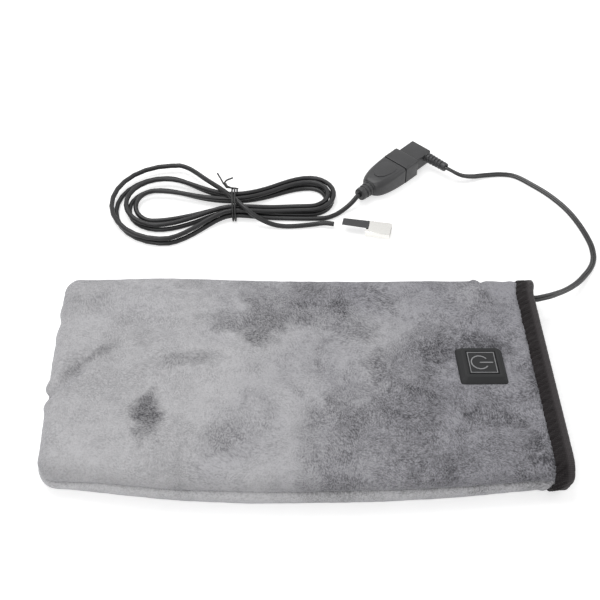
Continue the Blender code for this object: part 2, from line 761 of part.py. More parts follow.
def icon_outlines(grow):
    """The power symbol and the square line round it, each line wider by grow on both sides."""
    opening = math.radians(ICON_OPENING_DEG) / 2
    half = ICON_LINE / 2 + grow
    angles = [opening + (2 * math.pi - 2 * opening) * step / ICON_ARC_STEPS
              for step in range(ICON_ARC_STEPS + 1)]
    extra = grow / ICON_RING_RADIUS
    angles[0] -= extra
    angles[-1] += extra
    ring = []
    for radius, turns in ((ICON_RING_RADIUS + half, angles), (ICON_RING_RADIUS - half, angles[::-1])):
        ring += [(radius * math.cos(a) - ICON_SHIFT, radius * math.sin(a)) for a in turns]
    bar_low, bar_high = -ICON_SHIFT - grow, ICON_BAR_LENGTH - ICON_SHIFT + grow
    bar = [(bar_low, -half), (bar_high, -half), (bar_high, half), (bar_low, half)]
    squares = []
    for side in (ICON_FRAME_SIDE / 2 + grow, ICON_FRAME_SIDE / 2 - ICON_FRAME_LINE - grow):
        squares.append([(-side, -side), (side, -side), (side, side), (-side, side)])
    return {"icon_ring": [ring], "icon_bar": [bar], "icon_frame": squares}


def make_button(shop, frame):
    """The cap that is pressed, with its flange under the cover, and the symbol inlaid in it."""
    cap_top = BUTTON_HEIGHT + CAP_PROUD
    flange_top = COVER_POCKET_TOP - GAP
    cap_bottom = flange_top - CAP_FLANGE
    cap = shop.part(
        "button_cap",
        block_mesh("button_cap", (CAP_SIDE, CAP_SIDE, cap_top - cap_bottom),
                   (0, 0, (cap_top + cap_bottom) / 2)), "button_rubber", frame)
    add_bevel(cap, CAP_BEVEL)
    flange_side = CAP_SIDE + 2 * CAP_FLANGE_WALL
    flange = shop.cutter(
        "cap_flange",
        block_mesh("cap_flange", (flange_side, flange_side, CAP_FLANGE), (0, 0, flange_top - CAP_FLANGE / 2)),
        frame)
    groove_depth = ICON_DEPTH + FINE_GAP
    groove_height = groove_depth + OVERRUN
    add_boolean(cap, flange, "UNION")
    groove_z = cap_top - groove_depth + groove_height / 2
    for name, outlines in icon_outlines(FINE_GAP).items():
        groove = shop.cutter(
            name + "_groove", plate_mesh(name + "_groove", outlines, groove_height), frame,
            Matrix.Translation((0, 0, groove_z)))
        add_boolean(cap, groove)
    for name, outlines in icon_outlines(0.0).items():
        shop.part(
            name, plate_mesh(name, outlines, ICON_DEPTH), "icon_grey", frame,
            Matrix.Translation((0, 0, cap_top - ICON_DEPTH / 2)))
    return cap_bottom


def make_board(shop, frame, cap_bottom):
    """The board in the tray, with the switch under the cap."""
    board_side = TRAY_SIDE - 2 * TRAY_WALL - 2 * GAP
    board_top = -TRAY_DEPTH + TRAY_FLOOR + GAP + BOARD_THICKNESS
    shop.part(
        "control_board",
        block_mesh("control_board", (board_side, board_side, BOARD_THICKNESS),
                   (0, 0, board_top - BOARD_THICKNESS / 2)), "board_green", frame)
    seat = board_top + GAP
    plunger_top = cap_bottom - GAP
    plunger_low = -PLUNGER_SEAT
    switch_height = -seat
    switch = shop.part(
        "switch_body",
        block_mesh("switch_body", (SWITCH_SIDE, SWITCH_SIDE, switch_height),
                   (0, 0, seat + switch_height / 2)), "chip_black", frame)
    well = shop.cutter(
        "switch_well",
        rod_mesh("switch_well", PLUNGER_RADIUS + GAP, (0, 0, plunger_low - PRESS_TRAVEL - GAP),
                 (0, 0, OVERRUN)), frame)
    add_boolean(switch, well)
    shop.part(
        "switch_plunger",
        rod_mesh("switch_plunger", PLUNGER_RADIUS, (0, 0, plunger_low), (0, 0, plunger_top)),
        "icon_grey", frame)
    led_z = seat + LED_SIZE[2] / 2
    for name, side in (("status_led_near", -1), ("status_led_far", 1)):
        shop.part(name, block_mesh(name, LED_SIZE, (0, side * LED_OFFSET, led_z)), "led_clear", frame)
    chip_z = seat + CHIP_SIZE[2] / 2
    shop.part(
        "controller_chip", block_mesh("controller_chip", CHIP_SIZE, (-CHIP_OFFSET, 0, chip_z)),
        "chip_black", frame)
    resistor_z = seat + RESISTOR_SIZE[2] / 2
    for name, side in (("resistor_near", -1), ("resistor_far", 1)):
        centre = (CHIP_OFFSET, side * RESISTOR_OFFSET, resistor_z)
        shop.part(name, block_mesh(name, RESISTOR_SIZE, centre), "icon_grey", frame)


def cut_for_button(shop, frame, layers):
    """Open the plush for the tray and the wadding for its flange."""
    plush_side = TRAY_SIDE + 2 * GAP
    plush_hole = shop.cutter(
        "plush_hole",
        block_mesh("plush_hole", (plush_side, plush_side, PLUSH + 2 * OVERRUN), (0, 0, -PLUSH / 2)), frame)
    add_boolean(layers["outer_top"], plush_hole)
    wadding_side = BUTTON_BASE + 2 * GAP
    middle = -WADDING_DEPTH - WADDING / 2
    wadding_hole = shop.cutter(
        "wadding_hole",
        block_mesh("wadding_hole", (wadding_side, wadding_side, WADDING + 2 * OVERRUN), (0, 0, middle)),
        frame)
    add_boolean(layers["wadding_top"], wadding_hole)


def make_inner_lead(shop, frame, layers, binding):
    """The lead between plush and lining, from the tray to the mouth's far corner."""
    depth = CLOTH_DEPTH - GAP - INNER_LEAD_RADIUS
    hem_depth = PLUSH + (HEM_SPACE + GAP) / 2
    lane = MOUTH_WIDTH / 2 - INNER_LEAD_LANE_INSET
    start = frame.matrix_world @ Vector((0, TRAY_SIDE / 2 + GAP, -depth))
    turn = INNER_LEAD_BEND
    route = [
        start, face_point(BUTTON_X, BUTTON_Y + TRAY_SIDE, depth),
        face_point(BUTTON_X, lane - 2 * turn, depth), face_point(BUTTON_X, lane - turn, depth),
        face_point(BUTTON_X + turn / 3, lane - turn / 3, depth), face_point(BUTTON_X + turn, lane, depth),
        face_point((BUTTON_X + turn + HEM_X) / 2, lane, depth),
        face_point(HEM_X, lane, hem_depth), face_point(MOUTH_X, lane, hem_depth)]
    spacing = 5 * INNER_LEAD_RADIUS
    points = smooth_route(route, spacing)
    exit_point = face_point(HALF_LENGTH, lane, hem_depth)
    points.append(exit_point)
    shop.part("inner_lead", tube_curve("inner_lead", points, INNER_LEAD_RADIUS, 1), "cord_black")
    channel_radius = INNER_LEAD_RADIUS + 2 * GAP
    channel = shop.cutter(
        "lead_channel", mesh_of_curve("lead_channel", tube_curve("lead_channel", points, channel_radius)))
    add_boolean(layers["wadding_top"], channel)
    heading = Vector((OVERRUN, 0, 0))
    hole = shop.cutter(
        "binding_hole",
        rod_mesh("binding_hole", channel_radius, exit_point - heading / 2, exit_point + heading))
    add_boolean(binding, hole)
    print("lead exit", [round(value, 5) for value in exit_point])
    return exit_point


def wire_runs(upper):
    """The heating wire's runs on one side, from the near lane to the far one."""
    half_length, half_field = WIRE_FIELD_LENGTH / 2, WIRE_FIELD_WIDTH / 2
    pitch = WIRE_FIELD_WIDTH / (WIRE_RUNS - 1)
    bend = pitch / 2
    low, high = WIRE_FIELD_X - half_length, WIRE_FIELD_X + half_length
    run_x = [low] + [x for x in length_stations(HEM_X) if low + bend < x < high - bend] + [high]
    points = [face_point(high + bend, -half_field, WIRE_DEPTH, upper)]
    for run in range(WIRE_RUNS):
        y = -half_field + pitch * run
        places = list(reversed(run_x)) if run % 2 == 0 else run_x
        points += [face_point(x, y, WIRE_DEPTH, upper) for x in places]
        if run < WIRE_RUNS - 1:
            side = -1 if run % 2 == 0 else 1
            points.append(face_point(places[-1] + side * bend, y + bend, WIRE_DEPTH, upper))
    points.append(face_point(high + bend, half_field, WIRE_DEPTH, upper))
    return points


def wire_tail(shop, layers, x, y, name):
    """A wire's last stretch up through the upper heater cloth to the tray, and its hole."""
    ends = [face_point(x, y, CLOTH_DEPTH - FINE_GAP), face_point(x, y, WIRE_DEPTH)]
    reach = Vector((0, 0, OVERRUN / 4))
    hole = shop.cutter(
        name, rod_mesh(name, HEATING_WIRE_DIAMETER / 2 + GAP, ends[1] - reach, ends[0] + reach, 8))
    add_boolean(layers["cloth_top"], hole)
    return ends


def round_the_side(x):
    """Points between cloth and lining round the near side, from the top to the bottom."""
    lifts = [90.0 * step / ARC_STEPS for step in range(ARC_STEPS + 1)]
    upper = [section_point(x, 90.0, (-1, lift, 1.0), WIRE_DEPTH, True) for lift in reversed(lifts)]
    return upper + [section_point(x, 90.0, (-1, lift, 1.0), WIRE_DEPTH, False) for lift in lifts]


def make_heating_wires(shop, layers):
    """A heating wire under each heater cloth. The lower one's ends come round the near side."""
    near, far = BUTTON_Y - WIRE_TAIL_OFFSET, BUTTON_Y + WIRE_TAIL_OFFSET
    first = wire_tail(shop, layers, BUTTON_X, near, "wire_hole_near")
    last = wire_tail(shop, layers, BUTTON_X, far, "wire_hole_far")
    upper = first + wire_runs(True) + list(reversed(last))
    radius = HEATING_WIRE_DIAMETER / 2
    shop.part("heating_wire_top", tube_curve("heating_wire_top", upper, radius, 0), "heating_wire")
    ways = []
    for name, offset in zip(("wire_hole_out", "wire_hole_back"), LINK_X_OFFSETS):
        x = BUTTON_X + offset
        ways.append(wire_tail(shop, layers, x, BUTTON_Y - LINK_TAIL_Y_OFFSET, name) + round_the_side(x))
    half_field = WIRE_FIELD_WIDTH / 2
    corners = [face_point(BUTTON_X + offset, side * half_field, WIRE_DEPTH, False)
               for side, offset in zip((-1, 1), LINK_X_OFFSETS)]
    lower = ways[0] + corners[:1] + wire_runs(False) + corners[1:] + list(reversed(ways[1]))
    shop.part("heating_wire_bottom", tube_curve("heating_wire_bottom", lower, radius, 0), "heating_wire")


def make_cutout(shop, layers):
    """The thermal cut-out, in a pocket of the upper wadding."""
    centre = face_point(BUTTON_X - CUTOUT_FROM_BUTTON, BUTTON_Y, WADDING_DEPTH + WADDING / 2)
    shop.part("thermal_cutout", block_mesh("thermal_cutout", CUTOUT_SIZE, centre), "cutout_case")
    length, width, height = CUTOUT_SIZE
    pocket = shop.cutter(
        "cutout_pocket",
        block_mesh("cutout_pocket", (length + 2 * GAP, width + 2 * GAP, height + OVERRUN), centre))
    add_boolean(layers["wadding_top"], pocket)


def coupling_frame(shop):
    """An empty at the socket's mouth, with +X from the socket to the plug."""
    turn = Matrix.Rotation(math.radians(COUPLING_TURN_DEG), 4, "Z")
    place = Matrix.Translation((*COUPLING_PLACE, SOCKET_HEIGHT / 2))
    print("unplug axis", [round(-value, 5) for value in turn.col[0][:3]])
    return shop.empty("coupling_frame", place @ turn)


def relief_mesh(name, length, root, tip, ribs, sink):
    """A ribbed strain relief along +Z, sunk a little way below z = 0 so that it joins on."""
    pitch = length / (ribs + 1)
    profile = [(tip, length), (tip, length - pitch * RELIEF_TIP_SHARE)]
    for rib in range(ribs, 0, -1):
        middle = pitch * (rib - 1.0 + RIB_PLACE_SHARE)
        radius = tip + (root - tip) * (1.0 - middle / length)
        half = RIB_GROOVE / 2
        profile += [(radius, middle + half), (radius - RIB_GROOVE_DEPTH, middle + half),
                    (radius - RIB_GROOVE_DEPTH, middle - half), (radius, middle - half)]
    profile += [(root, 0.0), (root, -sink)]
    bm = bmesh.new()
    rim = [bm.verts.new((radius, 0.0, z)) for radius, z in profile]
    for first, second in zip(rim, rim[1:]):
        bm.edges.new((first, second))
    bmesh.ops.spin(
        bm, geom=bm.verts[:] + bm.edges[:], cent=(0, 0, 0), axis=(0, 0, 1), angle=2 * math.pi,
        steps=RELIEF_SIDES, use_merge=True, use_duplicate=False)
    bmesh.ops.remove_doubles(bm, verts=bm.verts, dist=MERGE_DISTANCE)
    bmesh.ops.holes_fill(bm, edges=[edge for edge in bm.edges if edge.is_boundary], sides=0)
    return mesh_from(bm, name)


def bore_in(shop, name, radius, start, along, parent):
    """A cutter for the cord's way into a strain relief."""
    return shop.cutter(name, rod_mesh(name, radius, start, Vector(start) + Vector(along)), parent)


def shell_mesh(name, length, width, height, wall, front_x):
    """A metal sleeve along X that is open at both ends."""
    bm = bmesh.new()
    middle = front_x - length / 2
    place = Matrix.Translation((middle, 0, 0)) @ Matrix.Diagonal((length, width, height, 1.0))
    bmesh.ops.create_cube(bm, size=1.0, matrix=place)
    ends = [face for face in bm.faces if abs(face.normal.x) > 0.5]
    bmesh.ops.delete(bm, geom=ends, context="FACES_ONLY")
    return mesh_from(bm, name), wall


def make_sleeve(shop, name, parent, front_x, length, width, height, wall, finish):
    """A metal sleeve with its wall inwards."""
    data, thickness = shell_mesh(name, length, width, height, wall, front_x)
    item = shop.part(name, data, finish, parent)
    add_wall(item, thickness, even=True)
    return item


def make_contacts(shop, prefix, parent, length, x, z):
    """The contact strips of a plug or a socket, side by side."""
    first = -CONTACT_PITCH * (CONTACT_COUNT - 1) / 2
    for index in range(CONTACT_COUNT):
        name = prefix + "_contact_" + str(index + 1)
        size = (length, CONTACT_WIDTH, CONTACT_THICKNESS)
        shop.part(name, block_mesh(name, size, (x, first + CONTACT_PITCH * index, z)), "contact_gold", parent)


def make_plug_core(shop, prefix, parent, tip_x, root_x, sign=-1):
    """The tongue and contacts in a plug's metal shell. The tongue's face looks along -sign Z."""
    inner_width = SHELL_WIDTH - 2 * SHELL_WALL - 2 * TONGUE_SIDE_GAP
    inner_half = SHELL_HEIGHT / 2 - SHELL_WALL - FINE_GAP
    direction = 1 if tip_x > root_x else -1
    length = abs(tip_x - root_x) - GAP
    tongue_x = root_x + direction * length / 2
    tongue_z = sign * (inner_half - TONGUE_THICKNESS / 2)
    shop.part(
        prefix + "_insulator",
        block_mesh(prefix + "_insulator", (length, inner_width, TONGUE_THICKNESS), (tongue_x, 0, tongue_z)),
        "insulator_white", parent)
    strip = length * CONTACT_LENGTH_SHARE
    strip_z = sign * (inner_half - TONGUE_THICKNESS - FINE_GAP - CONTACT_THICKNESS / 2)
    make_contacts(shop, prefix, parent, strip, tongue_x, strip_z)


def make_angle_plug(shop, frame):
    """The right-angle plug: block, ribbed relief to one side, metal shell and tongue."""
    length, width = ANGLE_BLOCK_LENGTH, ANGLE_BLOCK_WIDTH
    body = shop.part(
        "angle_plug_body",
        block_mesh("angle_plug_body", (length, width, ANGLE_BLOCK_HEIGHT), (GAP + length / 2, 0, 0)),
        "plug_rubber", frame)
    add_bevel(body, ANGLE_CHAMFER)
    relief_x = GAP + length - ANGLE_RELIEF_RADIUS
    place = Matrix.Translation((relief_x, -width / 2, ANGLE_RELIEF_RISE))
    turn = place @ Matrix.Rotation(math.pi / 2, 4, "X")
    relief = shop.cutter(
        "angle_relief",
        relief_mesh("angle_relief", ANGLE_RELIEF_LENGTH, ANGLE_RELIEF_RADIUS, ANGLE_RELIEF_TIP, 5,
                    ANGLE_CHAMFER * 2),
        frame, turn)
    pocket = shop.cutter(
        "angle_pocket",
        block_mesh("angle_pocket", (SHELL_ROOT + OVERRUN, SHELL_WIDTH + 2 * GAP, SHELL_HEIGHT + 2 * GAP),
                   ((SHELL_ROOT + GAP - OVERRUN) / 2 + GAP, 0, 0)), frame)
    add_boolean(body, relief, "UNION")
    add_boolean(body, pocket)
    root_x = GAP + SHELL_ROOT
    make_sleeve(
        shop, "angle_plug_shell", frame, root_x, SHELL_INSERTION + root_x, SHELL_WIDTH, SHELL_HEIGHT,
        SHELL_WALL, "nickel")
    make_plug_core(shop, "angle_plug", frame, -SHELL_INSERTION, root_x, sign=-1)
    tip_y = -width / 2 - ANGLE_RELIEF_LENGTH - GAP
    tip = frame.matrix_world @ Vector((relief_x, tip_y, ANGLE_RELIEF_RISE))
    return tip


def socket_outline():
    """Plan of the socket's oval body, from the groove back to the relief."""
    front, back = -SOCKET_MOUTH_LENGTH - SOCKET_GROOVE, -SOCKET_MOUTH_LENGTH - SOCKET_BODY_LENGTH
    half, neck = SOCKET_WIDTH / 2, SOCKET_NECK_WIDTH / 2
    side = []
    steps = 7
    for step in range(steps + 1):
        share = step / steps
        y = neck + (half - neck) * math.sqrt(max(0.0, 1.0 - share ** OVAL_ROUNDNESS_SHARE))
        side.append((front + (back - front) * share, y))
    return side + [(x, -y) for x, y in reversed(side)]


def make_socket(shop, frame):
    """The extension's socket: mouth block, oval body, relief, liner and tongue."""
    mouth_x = -SOCKET_MOUTH_LENGTH / 2
    body = shop.part(
        "socket_body",
        block_mesh("socket_body", (SOCKET_MOUTH_LENGTH, SOCKET_WIDTH, SOCKET_HEIGHT), (mouth_x, 0, 0)),
        "plug_rubber", frame)
    add_bevel(body, SOCKET_CHAMFER)
    oval = shop.cutter("socket_oval", plate_mesh("socket_oval", [socket_outline()], SOCKET_HEIGHT), frame)
    add_bevel(oval, SOCKET_CHAMFER, angle_deg=50.0)
    neck_size = (4 * SOCKET_CHAMFER, SOCKET_WIDTH - 2 * SOCKET_GROOVE_DEPTH,
                 SOCKET_HEIGHT - 2 * SOCKET_GROOVE_DEPTH)
    neck = shop.cutter(
        "socket_neck",
        block_mesh("socket_neck", neck_size, (-SOCKET_MOUTH_LENGTH - SOCKET_GROOVE / 2, 0, 0)), frame)
    add_bevel(neck, SOCKET_CHAMFER)
    back_x = -SOCKET_MOUTH_LENGTH - SOCKET_BODY_LENGTH
    relief = shop.cutter(
        "socket_relief",
        relief_mesh("socket_relief", SOCKET_RELIEF_LENGTH, SOCKET_RELIEF_RADIUS, SOCKET_RELIEF_TIP, 3,
                    SOCKET_CHAMFER * 2),
        frame, Matrix.Translation((back_x, 0, 0)) @ Matrix.Rotation(-math.pi / 2, 4, "Y"))
    liner_wide = SHELL_WIDTH + 2 * GAP + 2 * SOCKET_LINER_WALL
    liner_high = SHELL_HEIGHT + 2 * GAP + 2 * SOCKET_LINER_WALL
    liner_length = SHELL_INSERTION + 2 * GAP
    pocket_length = liner_length + GAP + OVERRUN
    pocket = shop.cutter(
        "socket_pocket",
        block_mesh("socket_pocket", (pocket_length, liner_wide + 2 * GAP, liner_high + 2 * GAP),
                   (OVERRUN - pocket_length / 2, 0, 0)), frame)
    for tool in (neck, oval, relief):
        add_boolean(body, tool, "UNION")
    add_boolean(body, pocket)
    make_sleeve(
        shop, "socket_shell", frame, -GAP, liner_length - GAP, liner_wide, liner_high,
        SOCKET_LINER_WALL, "nickel")
    inner_half = SHELL_HEIGHT / 2 - SHELL_WALL - FINE_GAP
    inner_width = SHELL_WIDTH - 2 * SHELL_WALL - 2 * TONGUE_SIDE_GAP
    length = SHELL_INSERTION - GAP
    tongue_x = -liner_length + length / 2
    tongue_z = inner_half - TONGUE_THICKNESS / 2
    shop.part(
        "socket_insulator",
        block_mesh("socket_insulator", (length, inner_width, TONGUE_THICKNESS), (tongue_x, 0, tongue_z)),
        "insulator_white", frame)
    strip_z = inner_half - TONGUE_THICKNESS - FINE_GAP - CONTACT_THICKNESS / 2
    make_contacts(shop, "socket", frame, length * CONTACT_LENGTH_SHARE, tongue_x, strip_z)
    return frame.matrix_world @ Vector((back_x - SOCKET_RELIEF_LENGTH - GAP, 0, 0))


def make_end_plug(shop):
    """The straight plug at the extension's other end."""
    turn = Matrix.Rotation(math.radians(END_PLUG_TURN_DEG), 4, "Z")
    frame = shop.empty("end_plug_frame", Matrix.Translation((*END_PLUG_PLACE, END_PLUG_HEIGHT / 2)) @ turn)
    length = END_PLUG_LENGTH
    body = shop.part(
        "end_plug_body",
        block_mesh("end_plug_body", (length, END_PLUG_WIDTH, END_PLUG_HEIGHT), (length / 2, 0, 0)),
        "plug_rubber", frame)
    add_bevel(body, END_PLUG_CHAMFER)
    relief = shop.cutter(
        "end_relief",
        relief_mesh("end_relief", END_PLUG_RELIEF_LENGTH, END_PLUG_RELIEF_RADIUS, END_PLUG_RELIEF_TIP, 3,
                    END_PLUG_CHAMFER * 2),
        frame, Matrix.Rotation(-math.pi / 2, 4, "Y"))
    pocket = shop.cutter(
        "end_pocket",
        block_mesh("end_pocket", (SHELL_ROOT + GAP + OVERRUN, SHELL_WIDTH + 2 * GAP, SHELL_HEIGHT + 2 * GAP),
                   (length - (SHELL_ROOT + GAP - OVERRUN) / 2, 0, 0)), frame)
    add_boolean(body, relief, "UNION")
    add_boolean(body, pocket)
    front_x = length + END_PLUG_SHELL_LENGTH
    make_sleeve(
        shop, "end_plug_shell", frame, front_x, END_PLUG_SHELL_LENGTH + SHELL_ROOT, SHELL_WIDTH, SHELL_HEIGHT,
        SHELL_WALL, "nickel")
    make_plug_core(shop, "end_plug", frame, front_x - GAP, length - SHELL_ROOT, sign=-1)
    return frame.matrix_world @ Vector((-END_PLUG_RELIEF_LENGTH - GAP, 0, 0))


def spiral_level(turns):
    """How many pitches outside the innermost loop the cord lies after some turns."""
    if turns < HANK_SPIRAL_START_TURNS:
        return HANK_SPIRAL_START_TURNS - turns
    wound = max(0.0, turns - HANK_CLIMB_TO_TURNS)
    return wound + HANK_UPPER_LEVEL_SHIFT * smooth_step(wound / HANK_SHIFT_TURNS)


def hank_point(turns):
    """The cord's centre in the hank after some turns, from the near side of the right end."""
    level = spiral_level(turns)
    climb = smooth_step((turns - HANK_CLIMB_FROM_TURNS) / (HANK_CLIMB_TO_TURNS - HANK_CLIMB_FROM_TURNS))
    left = HANK_LEFT_INNER_RADIUS + level ** HANK_LEFT_GROWTH * HANK_LEFT_PITCH
    right = HANK_RIGHT_INNER_RADIUS + level * HANK_RIGHT_PITCH
    waist = HANK_WAIST_HALF_WIDTH + level * HANK_WAIST_PITCH
    left_x = HANK_LEFT_X + level * HANK_LEFT_X_PITCH
    left_y = HANK_LEFT_Y + climb * HANK_LEFT_UPPER_SHIFT
    right_y = HANK_RIGHT_Y + climb * HANK_RIGHT_UPPER_SHIFT
    step = (turns % 1.0) * HANK_POINTS_PER_TURN
    run, half_turn = HANK_RUN_POINTS, HANK_POINTS_PER_TURN / 2
    side = -1 if step < half_turn else 1
    share = (step % half_turn) / run
    if share <= 1.0:
        along = share if side < 0 else 1.0 - share
        x = HANK_RIGHT_X + (left_x - HANK_RIGHT_X) * along
        if x > HANK_WAIST_X:
            ease = smooth_step((HANK_RIGHT_X - x) / (HANK_RIGHT_X - HANK_WAIST_X))
            half, middle = right + (waist - right) * ease, right_y + (HANK_WAIST_Y - right_y) * ease
        else:
            ease = smooth_step((x - left_x) / (HANK_WAIST_X - left_x))
            half, middle = left + (waist - left) * ease, left_y + (HANK_WAIST_Y - left_y) * ease
        y = middle + side * half
    else:
        angle = math.pi * (step % half_turn - run) / (half_turn - run)
        if side < 0:
            x, y = left_x - left * math.sin(angle), left_y - left * math.cos(angle)
        else:
            x, y = HANK_RIGHT_X + right * math.sin(angle), right_y + right * math.cos(angle)
    near_waist = 1.0 - smooth_step(abs(x - HANK_WAIST_X) / HANK_LIFT_REACH)
    z = CORD_DIAMETER / 2 + CORD_FLOOR_GAP + climb * (CORD_DIAMETER + HANK_LAYER_GAP)
    return Vector((x, y, z + HANK_WAIST_LIFT * near_waist))


def least_self_gap(points, diameter):
    """Least clearance between stretches of a cord that are more than a loop's bend apart."""
    fine = []
    for first, second in zip(points, points[1:]):
        fine += [first.lerp(second, step / 4) for step in range(4)]
    fine.append(points[-1])
    least = min(
        (fine[one] - fine[two]).length
        for one in range(len(fine)) for two in range(one + SELF_GAP_SKIP_STEPS, len(fine)))
    return least - diameter


def make_extension_cord(shop, socket_tip, plug_tip, socket_heading, plug_heading):
    """The extension cord: its stretch from the socket, the hank and its stretch to the plug."""
    radius = CORD_DIAMETER / 2
    count = round(HANK_TURNS * HANK_POINTS_PER_TURN)
    hank = [hank_point(index / HANK_POINTS_PER_TURN) for index in range(count + 1)]
    lead_in = hank[0] + Vector((CORD_DIAMETER, 0, 0))
    lead_out = hank[-1] + Vector((CORD_DIAMETER, 0, 0))
    hank = [lead_in] + hank + [lead_out]
    print("hank length", round(route_length(hank), 4), "least gap to itself",
          round(least_self_gap(hank, CORD_DIAMETER), 5))
    shop.part(
        "extension_cord_hank", tube_curve("extension_cord_hank", hank, radius, 1), "cord_black")
    step = Vector((GAP, 0, 0))
    ahead = Vector((1, 0, 0))
    first = cord_points(
        socket_tip, socket_heading, SOCKET_END_ROUTE, lead_in + step, -ahead, CORD_DIAMETER)
    last = cord_points(
        lead_out + step, ahead, PLUG_END_ROUTE, plug_tip, plug_heading, CORD_DIAMETER)
    for name, points in (("extension_cord_socket_end", first), ("extension_cord_plug_end", last)):
        shop.part(name, tube_curve(name, points, radius), "cord_black")
    total = route_length(first) + route_length(hank) + route_length(last)
    print("extension cord length", round(total, 4))


def make_tie(shop):
    """The twist tie: two turns round the waist and two tails."""
    points = []
    for index in range(2 * len(TIE_RING) + 1):
        y, z = TIE_RING[index % len(TIE_RING)]
        x = HANK_WAIST_X + TIE_PITCH * (index / len(TIE_RING) - 1.0)
        points.append(Vector((x, y, z)))
    first, second = TIE_TAILS
    points = [Vector(point) for point in reversed(first)] + points + [Vector(point) for point in second]
    shop.part("hank_tie", tube_curve("hank_tie", points, TIE_RADIUS, 1), "tie_black")


def make_lead(shop, exit_point, relief_tip, relief_heading):
    """The flat lead from the binding to the right-angle plug."""
    radius = LEAD_DIAMETER / 2
    start = exit_point + Vector((GAP, 0, 0))
    points = cord_points(
        start, Vector((1, 0, 0)), LEAD_ROUTE, relief_tip, -relief_heading, LEAD_DIAMETER)
    shop.part("lead_cord", tube_curve("lead_cord", points, radius), "cord_black")
    print("lead length", round(route_length(points), 4))


def build():
    """Make the whole object."""
    clear_scene()
    shop = Shop()
    layers = make_layers(shop)
    binding = make_binding(shop)
    frame = button_frame(shop)
    make_tray(shop, frame)
    make_cover(shop, frame)
    cap_bottom = make_button(shop, frame)
    make_board(shop, frame, cap_bottom)
    cut_for_button(shop, frame, layers)
    bpy.context.view_layer.update()
    exit_point = make_inner_lead(shop, frame, layers, binding)
    make_heating_wires(shop, layers)
    make_cutout(shop, layers)
    coupling = coupling_frame(shop)
    bpy.context.view_layer.update()
    relief_tip = make_angle_plug(shop, coupling)
    socket_tip = make_socket(shop, coupling)
    along, across = coupling.matrix_world.to_3x3().col[0], coupling.matrix_world.to_3x3().col[1]
    make_lead(shop, exit_point, relief_tip, -across)
    plug_tip = make_end_plug(shop)
    turn = math.radians(END_PLUG_TURN_DEG)
    heading = Vector((math.cos(turn), math.sin(turn), 0))
    make_extension_cord(shop, socket_tip, plug_tip, -along, heading)
    make_tie(shop)


build()
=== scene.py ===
"""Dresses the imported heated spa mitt: plush, lining, gathered tape, button, lead and extension.

Every size is in metres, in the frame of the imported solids: the mitt lies on z = 0 with its mouth
towards +X. Each piece is built at its place, so its object stays at the origin.
"""
from __future__ import annotations

import json
import logging
import math
from dataclasses import dataclass, field, replace
from enum import Enum
from typing import Callable, Sequence

import bmesh
import bpy
from mathutils import Matrix, Vector, noise

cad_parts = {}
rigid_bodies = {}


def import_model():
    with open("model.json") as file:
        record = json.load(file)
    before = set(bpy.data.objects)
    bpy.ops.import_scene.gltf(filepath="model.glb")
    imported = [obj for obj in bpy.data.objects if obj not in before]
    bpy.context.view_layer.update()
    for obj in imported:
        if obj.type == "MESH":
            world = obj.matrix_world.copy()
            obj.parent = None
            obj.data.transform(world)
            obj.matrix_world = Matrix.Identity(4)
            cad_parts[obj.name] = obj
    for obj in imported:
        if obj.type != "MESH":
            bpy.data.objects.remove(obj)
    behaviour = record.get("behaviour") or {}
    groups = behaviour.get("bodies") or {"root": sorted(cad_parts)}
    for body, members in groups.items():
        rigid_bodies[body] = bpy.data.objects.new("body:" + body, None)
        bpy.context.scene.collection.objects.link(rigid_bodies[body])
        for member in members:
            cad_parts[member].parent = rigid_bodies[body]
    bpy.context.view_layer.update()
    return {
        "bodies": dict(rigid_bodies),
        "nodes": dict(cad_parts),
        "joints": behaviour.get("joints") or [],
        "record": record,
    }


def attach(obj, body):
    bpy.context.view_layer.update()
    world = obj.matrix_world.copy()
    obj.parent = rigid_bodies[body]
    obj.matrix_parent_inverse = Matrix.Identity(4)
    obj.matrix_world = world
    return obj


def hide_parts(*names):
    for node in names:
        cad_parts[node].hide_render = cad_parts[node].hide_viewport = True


LOG = logging.getLogger("spa_mitt")
MERGE = 0.00001
NO_MATERIAL = -1
FLOOR_GAP = 0.0001
STRAIGHT_END = 0.003
CORD_SUNK = 0.002
CONTACTS = range(1, 5)

Pair = tuple[float, float]
Triple = tuple[float, float, float]
Colour = Triple
BMesh = bmesh.types.BMesh
Piece = bpy.types.Object
Tree = bpy.types.NodeTree
Node = bpy.types.Node
Socket = bpy.types.NodeSocket


# Small helpers


def smooth_step(share: float) -> float:
    """Ease from 0 to 1.

    Args:
        share: Any number.

    Returns:
        0 below 0, 1 above 1, and a smooth rise between.
    """
    share = min(max(share, 0.0), 1.0)
    return share * share * (3.0 - 2.0 * share)


def bump_at(distance: float, reach: float) -> float:
    """Height of a bell of unit height.

    Args:
        distance: Distance from the bell's middle.
        reach: Distance at which it has fallen to about a third.

    Returns:
        The height there.
    """
    return math.exp(-((distance / reach) ** 2))


def ripple(place: Vector, size: float, seed: float = 0.0) -> float:
    """Smooth noise from -1 to 1.

    Args:
        place: Where it is read.
        size: Distance between its hills, in metres.
        seed: Moves the pattern, so that two of them differ.

    Returns:
        The noise there.
    """
    return noise.noise(place / size + Vector((seed, 2.3 * seed, -seed)))


